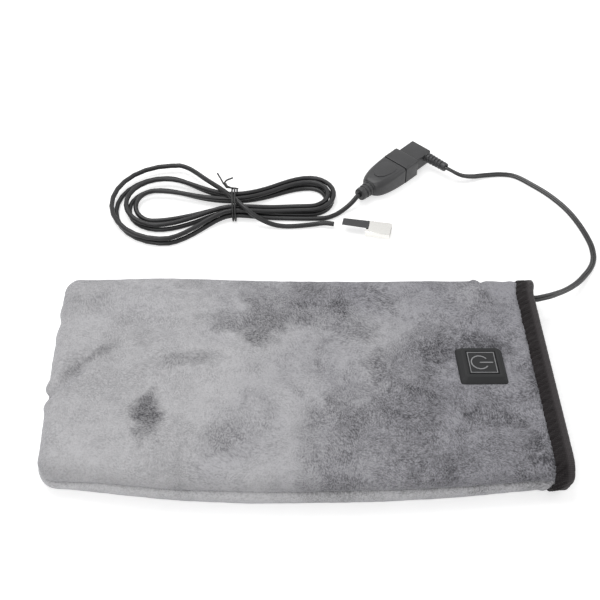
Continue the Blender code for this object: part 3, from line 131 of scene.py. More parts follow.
def smooth_route(points: Sequence[Vector], spacing: float) -> list[Vector]:
    """Even points on a smooth curve through a route's own points.

    Args:
        points: The route's points.
        spacing: Distance between the new points.

    Returns:
        The new points, with both ends kept.
    """
    knots = [Vector(point) for point in points]
    knots = [2 * knots[0] - knots[1]] + knots + [2 * knots[-1] - knots[-2]]
    fine: list[Vector] = []
    for before, start, end, after in zip(knots, knots[1:], knots[2:], knots[3:]):
        for step in range(16):
            t = step / 16
            fine.append(0.5 * (2 * start + (end - before) * t
                               + (2 * before - 5 * start + 4 * end - after) * t ** 2
                               + (3 * start - before - 3 * end + after) * t ** 3))
    fine.append(knots[-2])
    lengths = [0.0]
    for first, second in zip(fine, fine[1:]):
        lengths.append(lengths[-1] + (second - first).length)
    count = max(2, round(lengths[-1] / spacing))
    even: list[Vector] = []
    index = 0
    for step in range(count + 1):
        target = lengths[-1] * step / count
        while index < len(lengths) - 2 and lengths[index + 1] < target:
            index += 1
        stretch = max(lengths[index + 1] - lengths[index], 1e-9)
        even.append(fine[index].lerp(fine[index + 1], (target - lengths[index]) / stretch))
    return even


def route_length(points: Sequence[Vector]) -> float:
    """Length of a line through points."""
    return sum((second - first).length for first, second in zip(points, points[1:]))


def distance_to_route(x: float, y: float, route: Sequence[Pair]) -> Pair:
    """Distance in plan from a point to a line.

    Args:
        x: The point's x.
        y: The point's y.
        route: The line's points.

    Returns:
        The distance, positive on the line's left, and the share of the line at which it is least.
    """
    point = Vector((x, y))
    best, place = 1.0, 0.0
    for index, (first, second) in enumerate(zip(route, route[1:])):
        start, along = Vector(first), Vector(second) - Vector(first)
        share = min(max((point - start).dot(along) / along.length_squared, 0.0), 1.0)
        offset = point - start - along * share
        if offset.length < abs(best):
            best = math.copysign(offset.length, along.cross(offset))
            place = (index + share) / (len(route) - 1)
    return best, place


def finished_mesh(bm: BMesh, name: str, smooth_deg: float = 40.0) -> bpy.types.Mesh:
    """Turn a bmesh into a mesh that is smooth below an angle.

    Args:
        bm: The shape, which is freed.
        name: The mesh's name.
        smooth_deg: Edges sharper than this stay sharp.

    Returns:
        The mesh.
    """
    mesh = bpy.data.meshes.new(name)
    bm.to_mesh(mesh)
    bm.free()
    smooth_below(mesh, smooth_deg)
    return mesh


def smooth_below(mesh: bpy.types.Mesh, smooth_deg: float) -> None:
    """Shade a mesh smooth, apart from the edges that are sharper than an angle."""
    mesh.shade_smooth()
    mesh.set_sharp_from_angle(angle=math.radians(smooth_deg))


def placed(data: bpy.types.ID, name: str) -> Piece:
    """Put a mesh, curve, lamp or camera in the scene as an object at the origin."""
    piece = bpy.data.objects.new(name, data)
    bpy.context.scene.collection.objects.link(piece)
    return piece


def unit_grid(columns: int, rows: int) -> tuple[BMesh, list[tuple[bmesh.types.BMVert, int, int]]]:
    """Make a grid whose vertices get their places afterwards.

    Args:
        columns: Steps along X.
        rows: Steps along Y.

    Returns:
        The bmesh, and each vertex with its column and row.
    """
    bm = bmesh.new()
    bmesh.ops.create_grid(bm, x_segments=columns, y_segments=rows, size=1.0)
    return bm, [(vert, round((vert.co.x + 1.0) / 2.0 * columns), round((vert.co.y + 1.0) / 2.0 * rows))
                for vert in bm.verts]


def weld(bm: BMesh) -> None:
    """Merge vertices at one place and turn the faces outwards."""
    bmesh.ops.remove_doubles(bm, verts=bm.verts, dist=MERGE)
    bmesh.ops.recalc_face_normals(bm, faces=bm.faces)


def close_holes(bm: BMesh) -> None:
    """Fill the open ends and turn the faces outwards."""
    bmesh.ops.holes_fill(bm, edges=[edge for edge in bm.edges if edge.is_boundary], sides=0)
    bmesh.ops.recalc_face_normals(bm, faces=bm.faces)


def baked(piece: Piece) -> Piece:
    """Apply a piece's modifiers, or turn its curve into a mesh.

    Args:
        piece: A mesh or curve object.

    Returns:
        A mesh object of the same name.
    """
    name = piece.name
    bpy.context.view_layer.update()
    graph = bpy.context.evaluated_depsgraph_get()
    mesh = bpy.data.meshes.new_from_object(piece.evaluated_get(graph))
    mesh.name = name
    bpy.data.objects.remove(piece, do_unlink=True)
    return placed(mesh, name)


def add_wall(piece: Piece, thickness: float) -> None:
    """Give an open surface a wall on its inner side."""
    wall = piece.modifiers.new("wall", "SOLIDIFY")
    wall.thickness = thickness
    wall.offset = -1.0
    wall.use_quality_normals = True


# Node trees


class NodeBench:
    """Adds and joins the nodes of one material or node group."""

    def __init__(self, tree: Tree) -> None:
        """Start on a tree."""
        self.tree = tree
        self.count = 0

    def add(self, kind: str, inputs: dict | None = None, **settings: object) -> Node:
        """Add a node.

        Args:
            kind: The node's type.
            inputs: Values or sockets by input name or number.
            settings: The node's own settings.

        Returns:
            The node.
        """
        node = self.tree.nodes.new(kind)
        node.location = (180 * (self.count % 8), -220 * (self.count // 8))
        self.count += 1
        for name, value in settings.items():
            setattr(node, name, value)
        self.fill(node, inputs or {})
        return node

    def fill(self, node: Node, inputs: dict) -> None:
        """Give several inputs of a node their values or sockets."""
        for name, value in inputs.items():
            self.feed(node.inputs[name], value)

    def feed(self, socket: Socket, value: object) -> None:
        """Give an input a value, or join a socket to it."""
        if isinstance(value, bpy.types.NodeSocket):
            self.tree.links.new(value, socket)
        else:
            socket.default_value = value

    def math(self, operation: str, first: object, second: object = 0.0, clamp: bool = False) -> Socket:
        """A Math node's result."""
        node = self.add("ShaderNodeMath", {0: first, 1: second}, operation=operation, use_clamp=clamp)
        return node.outputs[0]

    def weighted(self, *terms: tuple[Socket, float], start: float = 0.0, clamp: bool = False) -> Socket:
        """Add up values, each times its weight.

        Args:
            terms: The values with their weights.
            start: What is added to them.
            clamp: Whether the sum stays between 0 and 1.

        Returns:
            The sum.
        """
        total: object = start
        for index, (value, weight) in enumerate(terms):
            node = self.add("ShaderNodeMath", {0: value, 1: weight, 2: total}, operation="MULTIPLY_ADD",
                            use_clamp=clamp and index == len(terms) - 1)
            total = node.outputs[0]
        return total

    def vector_math(self, operation: str, first: object, second: object) -> Socket:
        """A Vector Math node's vector."""
        return self.add("ShaderNodeVectorMath", {0: first, 1: second}, operation=operation).outputs[0]

    def length(self, vector: Socket) -> Socket:
        """A vector's length."""
        return self.add("ShaderNodeVectorMath", {0: vector}, operation="LENGTH").outputs["Value"]

    def eased(self, value: Socket, low: float, high: float) -> Socket:
        """0 at one value and 1 at another, with a smooth way between."""
        return self.add("ShaderNodeMapRange", {"Value": value, "From Min": low, "From Max": high},
                        interpolation_type="SMOOTHSTEP").outputs["Result"]

    def noise(self, place: Socket, scale: object, detail: float, roughness: float = 0.5,
              distortion: float = 0.0) -> Socket:
        """A Noise Texture's value."""
        return self.add("ShaderNodeTexNoise", {
            "Vector": place, "Scale": scale, "Detail": detail, "Roughness": roughness,
            "Distortion": distortion}).outputs["Fac"]

    def swirled(self, place: Socket, scale: float, reach: float) -> Socket:
        """Coordinates pushed about by a noise, so that a pattern on them curls."""
        cloud = self.add("ShaderNodeTexNoise", {
            "Vector": place, "Scale": scale, "Detail": 2.0, "Roughness": 0.5}).outputs["Color"]
        centred = self.vector_math("SUBTRACT", cloud, (0.5, 0.5, 0.5))
        return self.vector_math("ADD", place, self.vector_math("MULTIPLY", centred, (reach, reach, reach)))

    def turned(self, place: Socket, angle: object) -> Socket:
        """Coordinates turned about Z by an angle in radians."""
        return self.add("ShaderNodeVectorRotate", {"Vector": place, "Angle": angle},
                        rotation_type="Z_AXIS").outputs["Vector"]

    def blend(self, share: object, first: object, second: object) -> Socket:
        """Mix two colours."""
        node = self.add("ShaderNodeMix", data_type="RGBA")
        for index, value in ((0, share), (6, first), (7, second)):
            self.feed(node.inputs[index], value)
        return node.outputs[2]

    def ramp(self, value: Socket, stops: Sequence[Pair]) -> Socket:
        """Map a value to a grey by stops of (place, brightness)."""
        node = self.add("ShaderNodeValToRGB", {"Fac": value})
        elements = node.color_ramp.elements
        while len(elements) < len(stops):
            elements.new(0.5)
        for element, (place, grey) in zip(elements, stops):
            element.position = place
            element.color = (grey, grey, grey, 1.0)
        return node.outputs["Color"]

    def bump(self, height: Socket, strength: float, distance: float,
             normal: Socket | None = None) -> Socket:
        """A Bump node's normal."""
        inputs = {"Height": height, "Strength": strength, "Distance": distance}
        if normal is not None:
            inputs["Normal"] = normal
        return self.add("ShaderNodeBump", inputs).outputs["Normal"]


class SharedGroup(Enum):
    """Effects that more than one material uses."""

    PILE = "pile"
    BRUSHED_AND_SHADE_PATCH = "brushed_and_shade_patch"
    MOULDED_GRAIN = "moulded_grain"
    HANDLING_WEAR = "handling_wear"


def pile(bench: NodeBench, given: dict[str, Socket]) -> dict[str, Socket]:
    """Brushed pile: short strokes that lie in swirls, over soft clumps.

    Args:
        bench: The group's bench.
        given: The group's inputs by name.

    Returns:
        The group's outputs by name.
    """
    place = bench.swirled(given["Vector"], 26.0, 0.018)
    lays = [bench.noise(bench.vector_math("MULTIPLY", bench.turned(place, angle), given["Nap"]),
                        given["Grain"], 2.0, 0.62) for angle in (0.3, 1.4)]
    pick = bench.ramp(bench.noise(given["Vector"], 33.0, 1.0), ((0.42, 0.0), (0.58, 1.0)))
    clumps = bench.noise(place, bench.math("MULTIPLY", given["Grain"], 0.24), 3.0, 0.6, 0.4)
    both = bench.weighted((bench.blend(pick, *lays), 0.74), (clumps, 0.26))
    return {"Height": both, "Tone": bench.ramp(both, ((0.38, 0.0), (0.62, 1.0)))}


def brushed_and_shade_patch(bench: NodeBench, given: dict[str, Socket]) -> dict[str, Socket]:
    """A darker patch with a ragged rim, for pile stroked the other way, and also for painted shade along a
    fold.

    Args:
        bench: The group's bench.
        given: The group's inputs by name.

    Returns:
        The group's outputs by name.
    """
    offset = bench.vector_math("SUBTRACT", given["Vector"], given["Centre"])
    scaled = bench.vector_math("DIVIDE", bench.turned(offset, given["Turn"]), given["Reach"])
    fray = bench.math("SUBTRACT", bench.noise(given["Vector"], 58.0, 3.0, 0.52, 0.3), 0.5)
    edge = bench.weighted((bench.length(scaled), 1.0), (fray, 2.8))
    return {"Mask": bench.math("MULTIPLY", bench.eased(edge, 1.35, 0.15), given["Strength"])}


def moulded_grain(bench: NodeBench, given: dict[str, Socket]) -> dict[str, Socket]:
    """Fine spark-eroded grain of a moulding, and a broad change of tone.

    Args:
        bench: The group's bench.
        given: The group's inputs by name.

    Returns:
        The group's outputs by name.
    """
    broad = bench.noise(given["Vector"], 160.0, 2.0, 0.5)
    return {"Height": bench.noise(given["Vector"], given["Grain"], 2.0, 0.6),
            "Tone": bench.ramp(broad, ((0.3, 0.0), (0.7, 1.0)))}


def handling_wear(bench: NodeBench, given: dict[str, Socket]) -> dict[str, Socket]:
    """Thin rubbed streaks from handling: the crests of a stretched noise.

    Args:
        bench: The group's bench.
        given: The group's inputs by name.

    Returns:
        The group's outputs by name.
    """
    place = bench.vector_math("MULTIPLY", given["Vector"], (1.0, 6.0, 2.0))
    streaks = bench.noise(place, given["Scale"], 4.0, 0.7, 0.6)
    return {"Mask": bench.math("MULTIPLY", bench.ramp(streaks, ((0.55, 0.0), (0.78, 1.0))), given["Amount"])}


GROUP_PLANS: dict[SharedGroup, tuple[Callable, dict[str, object], Sequence[str]]] = {
    SharedGroup.PILE: (
        pile, {"Vector": (0, 0, 0), "Grain": 900.0, "Nap": (1, 1, 1)}, ("Height", "Tone")),
    SharedGroup.BRUSHED_AND_SHADE_PATCH: (
        brushed_and_shade_patch,
        {"Vector": (0, 0, 0), "Centre": (0, 0, 0), "Reach": (1, 1, 1), "Turn": 0.0, "Strength": 1.0},
        ("Mask",)),
    SharedGroup.MOULDED_GRAIN: (moulded_grain, {"Vector": (0, 0, 0), "Grain": 5000.0}, ("Height", "Tone")),
    SharedGroup.HANDLING_WEAR: (
        handling_wear, {"Vector": (0, 0, 0), "Scale": 220.0, "Amount": 0.5}, ("Mask",)),
}


def open_group(kind: SharedGroup) -> Tree:
    """Make a node group once, by its plan.

    Args:
        kind: Which effect it is.

    Returns:
        The group.
    """
    tree = bpy.data.node_groups.get(kind.value)
    if tree is not None:
        return tree
    build, inputs, outputs = GROUP_PLANS[kind]
    tree = bpy.data.node_groups.new(kind.value, "ShaderNodeTree")
    for name, default in inputs.items():
        socket = "NodeSocketVector" if isinstance(default, tuple) else "NodeSocketFloat"
        tree.interface.new_socket(name, in_out="INPUT", socket_type=socket).default_value = default
    for name in outputs:
        tree.interface.new_socket(name, in_out="OUTPUT", socket_type="NodeSocketFloat")
    bench = NodeBench(tree)
    given, result = bench.add("NodeGroupInput"), bench.add("NodeGroupOutput")
    bench.fill(result, build(bench, {name: given.outputs[name] for name in inputs}))
    return tree


def use_group(bench: NodeBench, kind: SharedGroup, inputs: dict) -> dict[str, Socket]:
    """Place a node group in a material.

    Args:
        bench: The material's bench.
        kind: Which effect it is.
        inputs: Its values or sockets by name.

    Returns:
        What comes out of it, by name.
    """
    node = bench.add("ShaderNodeGroup", node_tree=open_group(kind))
    bench.fill(node, inputs)
    return {socket.name: socket for socket in node.outputs}


def open_material(name: str) -> tuple[bpy.types.Material, NodeBench, Node, Socket]:
    """Start a material.

    Args:
        name: The material's name.

    Returns:
        The material, its bench, its Principled node and the Object coordinates.
    """
    material = bpy.data.materials.new(f"{name} finish")
    material.use_nodes = True
    bench = NodeBench(material.node_tree)
    shader = material.node_tree.nodes["Principled BSDF"]
    place = bench.add("ShaderNodeTexCoord").outputs["Object"]
    return material, bench, shader, place


# Finishes


@dataclass(frozen=True)
class Patch:
    """A darker patch of pile, mostly where it was stroked another way; the one along the left fold is painted
    shade.
    """

    x: float
    y: float
    reach_x: float
    reach_y: float
    strength: float
    turn_deg: float = 0.0


@dataclass(frozen=True)
class Finish:
    """A surface finish that can make its material."""

    name: str

    def material(self) -> bpy.types.Material:
        """The finish's material, made on first use."""
        return bpy.data.materials.get(f"{self.name} finish") or self.make()

    def make(self) -> bpy.types.Material:
        """Build the material."""
        raise NotImplementedError


@dataclass(frozen=True)
class PlushFinish(Finish):
    """Short dense plush with brushed patches, and painted side shade that darkens its colour towards +X."""

    light: Colour = (0.548, 0.543, 0.558)
    # painted side shade: the plush's colour towards +X, darker where it was less lit
    side_shade: Colour = (0.368, 0.364, 0.393)
    dark: Colour = (0.072, 0.071, 0.078)
    nap: Triple = (0.60, 1.0, 1.0)
    grain: float = 1180.0
    patches: tuple[Patch, ...] = ()
    depth: float = 0.0014
    # how fast the painted side shade rises along X; middle is its share at x = 0
    side_shade_slope: float = 4.4
    middle: float = 0.42
    clouds: float = 0.92
    grain_share: float = 0.30

    def make(self) -> bpy.types.Material:
        """Build the material."""
        material, bench, shader, place = open_material(self.name)
        pile = use_group(bench, SharedGroup.PILE, {"Vector": place, "Grain": self.grain, "Nap": self.nap})
        sides = bench.add("ShaderNodeSeparateXYZ", {0: place})
        drift = bench.math("SUBTRACT", bench.noise(place, 14.0, 3.0, 0.55, 0.3), 0.5)
        # painted side shade: a mask that rises along X, with noise, and turns the ground colour darker
        # towards +X
        side_shade = bench.weighted((sides.outputs["X"], self.side_shade_slope), (drift, 1.7), start=self.middle, clamp=True)
        ground = bench.blend(side_shade, (*self.light, 1.0), (*self.side_shade, 1.0))
        bank = bench.ramp(bench.noise(place, 21.0, 4.0, 0.56, 0.5), ((0.43, 0.0), (0.68, 1.0)))
        puffs = bench.ramp(bench.noise(bench.swirled(place, 30.0, 0.02), 62.0, 3.0, 0.52, 0.3),
                           ((0.46, 0.0), (0.70, 1.0)))
        cover = bench.weighted((bank, 0.62), (puffs, 0.38))
        # the clouds darken more where the painted side shade is strong
        share = bench.weighted((side_shade, 0.72 * self.clouds), start=0.28 * self.clouds)
        shade = bench.math("ADD", bench.math("MULTIPLY", cover, share), 0.06)
        # darker patches: brushed pile, and one painted shade along the left fold
        for patch in self.patches:
            mask = use_group(bench, SharedGroup.BRUSHED_AND_SHADE_PATCH, {
                "Vector": place, "Centre": (patch.x, patch.y, 0.024),
                "Reach": (patch.reach_x, patch.reach_y, 0.05), "Turn": -math.radians(patch.turn_deg),
                "Strength": patch.strength})
            shade = bench.math("MAXIMUM", shade, mask["Mask"])
        tufts = bench.math("SUBTRACT", pile["Tone"], 0.5)
        rough_lay = bench.weighted((side_shade, 0.36), (shade, 0.34), start=self.grain_share)
        shade = bench.math("ADD", shade, bench.math("MULTIPLY", tufts, rough_lay), clamp=True)
        curls = bench.bump(bench.noise(place, 210.0, 3.0, 0.6), 0.32, 0.0018)
        bench.fill(shader, {
            "Base Color": bench.blend(shade, ground, (*self.dark, 1.0)),
            "Roughness": bench.weighted((pile["Tone"], -0.08), start=0.94),
            "Specular IOR Level": 0.12, "Sheen Weight": 0.50, "Sheen Roughness": 0.34,
            "Sheen Tint": (0.94, 0.95, 1.0, 1.0),
            "Normal": bench.bump(pile["Height"], 0.85, self.depth, curls)})
        return material


@dataclass(frozen=True)
class TapeFinish(Finish):
    """Black knitted elastic tape."""

    dark: Colour = (0.007, 0.0058, 0.0062)
    light: Colour = (0.046, 0.039, 0.040)
    band_dark: Colour = (0.030, 0.026, 0.027)
    band_light: Colour = (0.070, 0.062, 0.064)
    band_from: float = 6.6
    band_full: float = 8.6

    def make(self) -> bpy.types.Material:
        """Build the material."""
        material, bench, shader, place = open_material(self.name)
        chart = bench.add("ShaderNodeUVMap", uv_map="along").outputs["UV"]
        rib, cross = (bench.add("ShaderNodeTexWave", {
            "Vector": chart, "Scale": scale, "Distortion": wander, "Detail": 1.0, "Detail Scale": finer},
            wave_type="BANDS", bands_direction=way).outputs["Fac"]
            for scale, wander, finer, way in ((0.32, 0.6, 1.5, "X"), (0.45, 0.5, 1.2, "Y")))
        weave = bench.math("MULTIPLY", rib, cross)
        step = bench.add("ShaderNodeSeparateXYZ", {0: chart}).outputs["Y"]
        band = bench.eased(step, self.band_from, self.band_full)
        fuzz = bench.noise(place, 1400.0, 3.0, 0.65)
        wear = use_group(bench, SharedGroup.HANDLING_WEAR, {"Vector": place, "Scale": 180.0, "Amount": 0.35})
        tone = bench.weighted((weave, 0.45), (fuzz, 0.35), (wear["Mask"], 0.4), clamp=True)
        gathers = bench.blend(tone, (*self.dark, 1.0), (*self.light, 1.0))
        smooth_band = bench.blend(tone, (*self.band_dark, 1.0), (*self.band_light, 1.0))
        bench.fill(shader, {
            "Base Color": bench.blend(band, gathers, smooth_band),
            "Roughness": bench.weighted((weave, -0.14), (band, -0.22), start=0.86),
            "Specular IOR Level": 0.22, "Sheen Weight": 0.08, "Sheen Roughness": 0.45,
            "Normal": bench.bump(fuzz, 0.25, 0.0003, bench.bump(weave, 0.55, 0.0004))})
        return material


@dataclass(frozen=True)
class MouldedFinish(Finish):
    """Rubber or plastic out of a mould."""

    colour: Colour = (0.05, 0.05, 0.05)
    roughness: float = 0.5
    spread: float = 0.08
    grain: float = 5200.0
    relief: float = 0.00008
    worn: float = 0.25
    specular: float = 0.5

    def make(self) -> bpy.types.Material:
        """Build the material."""
        material, bench, shader, place = open_material(self.name)
        grain = use_group(bench, SharedGroup.MOULDED_GRAIN, {"Vector": place, "Grain": self.grain})
        wear = use_group(bench, SharedGroup.HANDLING_WEAR, {
            "Vector": place, "Scale": 260.0, "Amount": self.worn})
        lighter = tuple(min(1.0, channel * 1.35 + 0.012) for channel in self.colour)
        darker = tuple(channel * 0.86 for channel in self.colour)
        ground = bench.blend(grain["Tone"], (*darker, 1.0), (*self.colour, 1.0))
        bench.fill(shader, {
            "Base Color": bench.blend(wear["Mask"], ground, (*lighter, 1.0)),
            "Roughness": bench.weighted((grain["Tone"], self.spread), (wear["Mask"], 0.10),
                                        start=self.roughness - self.spread / 2, clamp=True),
            "Specular IOR Level": self.specular,
            "Normal": bench.bump(grain["Height"], 0.5, self.relief)})
        return material


@dataclass(frozen=True)
class PlatedFinish(Finish):
    """Plated sheet metal with drawing marks."""

    colour: Colour = (0.80, 0.79, 0.76)
    roughness: float = 0.20

    def make(self) -> bpy.types.Material:
        """Build the material."""
        material, bench, shader, place = open_material(self.name)
        wear = use_group(bench, SharedGroup.HANDLING_WEAR, {"Vector": place, "Scale": 420.0, "Amount": 0.6})
        grain = use_group(bench, SharedGroup.MOULDED_GRAIN, {"Vector": place, "Grain": 2600.0})
        dull = tuple(channel * 0.72 for channel in self.colour)
        bench.fill(shader, {
            "Base Color": bench.blend(wear["Mask"], (*self.colour, 1.0), (*dull, 1.0)),
            "Metallic": 1.0,
            "Roughness": bench.weighted((wear["Mask"], 0.22), start=self.roughness),
            "Normal": bench.bump(grain["Height"], 0.25, 0.00004)})
        return material


PLUSH_PATCHES = (
    Patch(-0.0894, -0.042, 0.012, 0.022, 0.72, 8.0),
    Patch(-0.0770, 0.003, 0.026, 0.009, 0.40),
    Patch(-0.0480, 0.036, 0.017, 0.010, 0.46, 20.0),
    Patch(-0.0240, 0.034, 0.018, 0.024, 0.62, -18.0),
    Patch(-0.0120, 0.040, 0.020, 0.012, 0.58, 12.0),
    Patch(0.0262, 0.030, 0.022, 0.015, 0.44, -20.0),
    Patch(0.0350, 0.062, 0.024, 0.012, 0.40),
    Patch(0.0489, -0.0045, 0.016, 0.015, 0.56, 30.0),
    Patch(0.0800, 0.012, 0.014, 0.030, 0.46, 8.0),
    Patch(0.0266, -0.042, 0.020, 0.024, 0.56, 20.0),
    Patch(0.0180, -0.086, 0.014, 0.012, 0.48),
    Patch(0.0440, -0.060, 0.018, 0.012, 0.42),
    Patch(0.0703, -0.074, 0.034, 0.020, 0.54, 12.0),
    Patch(0.1320, -0.055, 0.014, 0.016, 0.40),
    Patch(0.0110, 0.052, 0.014, 0.008, 0.40, 20.0),
    # painted shade along the left fold: a dark streak laid along the crease
    Patch(-0.1270, 0.007, 0.020, 0.006, 0.52, 38.0),
    Patch(-0.0700, 0.070, 0.018, 0.007, 0.30),
    Patch(-0.0960, 0.022, 0.014, 0.012, 0.26),
)

PLUSH = PlushFinish("plush_grey", patches=PLUSH_PATCHES)
# a lighter copy of the plush for the lower panel: painted light on the near strip under the seam, which the
# floor shades
PLUSH_LOW_LIT = PlushFinish("plush_low_painted_light", light=(0.74, 0.735, 0.75), side_shade=(0.63, 0.625, 0.645), side_shade_slope=2.0,
                        clouds=0.55)
LINING = PlushFinish("lining_grey", light=(0.40, 0.40, 0.41), side_shade=(0.34, 0.34, 0.35), grain=1400.0,
                     depth=0.0007, side_shade_slope=0.6, clouds=0.25)
TAPE = TapeFinish("binding_tape")
FLEECE = MouldedFinish("needled_fleece", colour=(0.72, 0.72, 0.70), roughness=0.95, grain=900.0,
                       relief=0.0006, worn=0.1)
GLASS_CLOTH = MouldedFinish("heater_cloth", colour=(0.62, 0.60, 0.52), roughness=0.9, grain=1500.0,
                            relief=0.0003, worn=0.1)
HEATING_WIRE = MouldedFinish("heating_wire", colour=(0.50, 0.10, 0.07), roughness=0.55)
CUTOUT_CASE = MouldedFinish("cutout_case", colour=(0.55, 0.53, 0.48), roughness=0.5)
BUTTON_RUBBER = MouldedFinish("button_rubber", colour=(0.019, 0.0195, 0.0205), roughness=0.58, grain=4200.0,
                              relief=0.00010, worn=0.22, specular=0.28)
ICON_INK = MouldedFinish("icon_grey", colour=(0.30, 0.30, 0.31), roughness=0.45, worn=0.15)
TRAY_PLASTIC = MouldedFinish("tray_plastic", colour=(0.05, 0.05, 0.05), roughness=0.5)
BOARD = MouldedFinish("board_green", colour=(0.02, 0.15, 0.06), roughness=0.4)
CHIP = MouldedFinish("chip_black", colour=(0.02, 0.02, 0.02), roughness=0.4)
LED = MouldedFinish("led_clear", colour=(0.80, 0.80, 0.74), roughness=0.2)
CORD_SHEATH = MouldedFinish("cord_black", colour=(0.012, 0.012, 0.013), roughness=0.36, spread=0.10,
                            grain=3000.0, relief=0.00005, worn=0.15, specular=0.42)
LEAD_SHEATH = MouldedFinish("lead_black", colour=(0.014, 0.014, 0.015), roughness=0.24, spread=0.08,
                            grain=3000.0, relief=0.00004, worn=0.12, specular=0.60)
PLUG_RUBBER = MouldedFinish("plug_rubber", colour=(0.038, 0.038, 0.040), roughness=0.38, spread=0.10,
                            grain=3800.0, relief=0.00010, worn=0.35)
NICKEL = PlatedFinish("nickel")
GOLD = PlatedFinish("contact_gold", colour=(0.83, 0.62, 0.27), roughness=0.24)
INSULATOR = MouldedFinish("insulator_white", colour=(0.78, 0.78, 0.75), roughness=0.42)
TIE_WIRE = MouldedFinish("tie_black", colour=(0.014, 0.014, 0.014), roughness=0.38)


def finish_piece(piece: Piece, body: str, finish: Finish,
                 stands_for: Sequence[str] = ()) -> Piece:
    """Dress a new piece and tie it to its body, slot and solids.

    Args:
        piece: The new piece.
        body: The CAD body that it rides on.
        finish: Its finish.
        stands_for: The CAD nodes that it replaces.

    Returns:
        The piece.
    """
    piece.data.materials.clear()
    piece.data.materials.append(finish.material())
    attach(piece, body)
    if stands_for:
        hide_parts(*stands_for)
    LOG.info("%s: %d faces", piece.name, len(piece.data.polygons))
    return piece


@dataclass(frozen=True)
class Ring:
    """One rounded cross-section of a moulding, square to X."""

    x: float
    half_y: float
    half_z: float
    corner: float

    def points(self, per_corner: int) -> list[Vector]:
        """Points round the section."""
        corner = min(self.corner, self.half_y, self.half_z)
        points = []
        for quarter, (side_y, side_z) in enumerate(((1, 1), (-1, 1), (-1, -1), (1, -1))):
            for step in range(per_corner):
                angle = math.pi / 2 * (quarter + (step + 0.5) / per_corner)
                points.append(Vector((
                    self.x, side_y * (self.half_y - corner) + corner * math.cos(angle),
                    side_z * (self.half_z - corner) + corner * math.sin(angle))))
        return points


# The mitt


@dataclass(frozen=True)
class Crease:
    """A soft fold line in the plush, pressed in, or pinched up where its depth is negative."""

    route: tuple[Pair, ...]
    depth: float
    width: float
    left_shoulder: float
    right_shoulder: float


@dataclass(frozen=True)
class MittForm:
    """The mitt's outer form, as in the solids."""

    length: float = 0.3055
    closed_width: float = 0.1665
    mouth_width: float = 0.1595
    radius: float = 0.0120
    mouth_radius: float = 0.0108
    top_band: float = 0.0008
    low_band: float = 0.0025
    mouth_low_band: float = 0.0008
    crown: float = 0.0025
    slant: float = 0.0068
    bow: float = 0.0075
    bow_lean: float = 0.0017
    bow_shift: float = 0.0039
    narrows_from: float = 0.55
    draw: float = 0.0044
    draw_reach: float = 0.0620
    hem_length: float = 0.0140
    mouth_rise: float = 0.0011
    corner_draw: float = 0.0022
    far_reach: float = 0.0026
    far_drop: float = 0.0018
    rise_length: float = 0.0466

    @property
    def end(self) -> float:
        """Half of the length."""
        return self.length / 2

    def narrowing(self, x: float) -> float:
        """How far the section has changed to the mouth's."""
        return smooth_step((x / self.length + 0.5 - self.narrows_from) / (1.0 - self.narrows_from))

    def half_width(self, x: float) -> float:
        """Half of the width at x."""
        drawn = smooth_step(1.0 - (x + self.end - self.radius) / self.draw_reach)
        width = self.closed_width - (self.closed_width - self.mouth_width) * self.narrowing(x)
        return width / 2 - self.draw * drawn

    def edge(self, x: float) -> float:
        """Radius of the rolled sides at x."""
        return self.radius - (self.radius - self.mouth_radius) * self.narrowing(x)

    def rise(self, x: float) -> float:
        """How far the underside has risen for the tape."""
        hem = self.end - self.hem_length
        return min(max((x - hem + self.rise_length) / self.rise_length, 0.0), 1.0)

    def floor(self, x: float) -> float:
        """Height of the underside at x."""
        return self.mouth_rise * self.rise(x)

    def band(self, x: float) -> float:
        """Height of the upright band under the seam."""
        low = self.low_band + (self.mouth_low_band - self.low_band) * self.rise(x)
        return low + self.top_band

    def seam(self, x: float) -> float:
        """Height of the side seam at x."""
        return self.floor(x) + self.edge(x) + self.band(x)

    def crown_rise(self, x: float, y: float) -> float:
        """How far the top's middle stands above its sides."""
        core = self.half_width(x) - self.edge(x)
        along = 1.0 - (abs(x) / (self.end - self.radius)) ** 4
        across = 1.0 - (y / core) ** 2
        return self.crown * max(along, 0.0) * max(across, 0.0)

    def mouth_shift(self, x: float, y: float, z: float) -> Vector:
        """How far the tape has drawn the mouth's edge at its two corners.

        Args:
            x: Place along the mitt.
            y: Place across it, before the bow.
            z: Height.

        Returns:
            The shift there.
        """
        close = smooth_step((x - self.end + 0.0280) / 0.0160)
        near = smooth_step((-y - 0.058) / 0.018) * smooth_step((0.016 - z) / 0.008)
        far = smooth_step((y - 0.060) / 0.016) * smooth_step((z - 0.010) / 0.008)
        return close * Vector((self.far_reach * far - self.corner_draw * near, 0.0, -self.far_drop * far))

    def plan(self, x: float, y: float, z: float) -> Vector:
        """Slant the mouth and bow the mitt sideways."""
        share = (x + self.end) / self.length
        along = x / self.end
        bow = self.bow * along ** 2 - self.bow_lean * along - self.bow_shift
        lean = self.slant / self.closed_width * (y + self.closed_width / 2) * share
        return Vector((x - lean, y + bow, z))

    def roll(self, x: float, share: float, depth: float, band: float) -> Pair:
        """Walk down a rolled edge.

        Args:
            x: Place along the mitt.
            share: 0 at the flat, 1 at the seam.
            depth: Depth below the outer face.
            band: Height of the upright part next to the seam.

        Returns:
            The distance out from the flat's edge, and the distance down or up from the flat.
        """
        reach = self.edge(x) - depth
        arc = reach * math.pi / 2
        walked = share * (arc + band)
        if walked <= arc:
            angle = walked / reach
            return reach * math.sin(angle), reach * (1.0 - math.cos(angle))
        return reach, reach + walked - arc


@dataclass
class PanelSpot:
    """What is known of one vertex of a panel."""

    x: float
    y: float
    seam_distance: float
    on_flap: bool


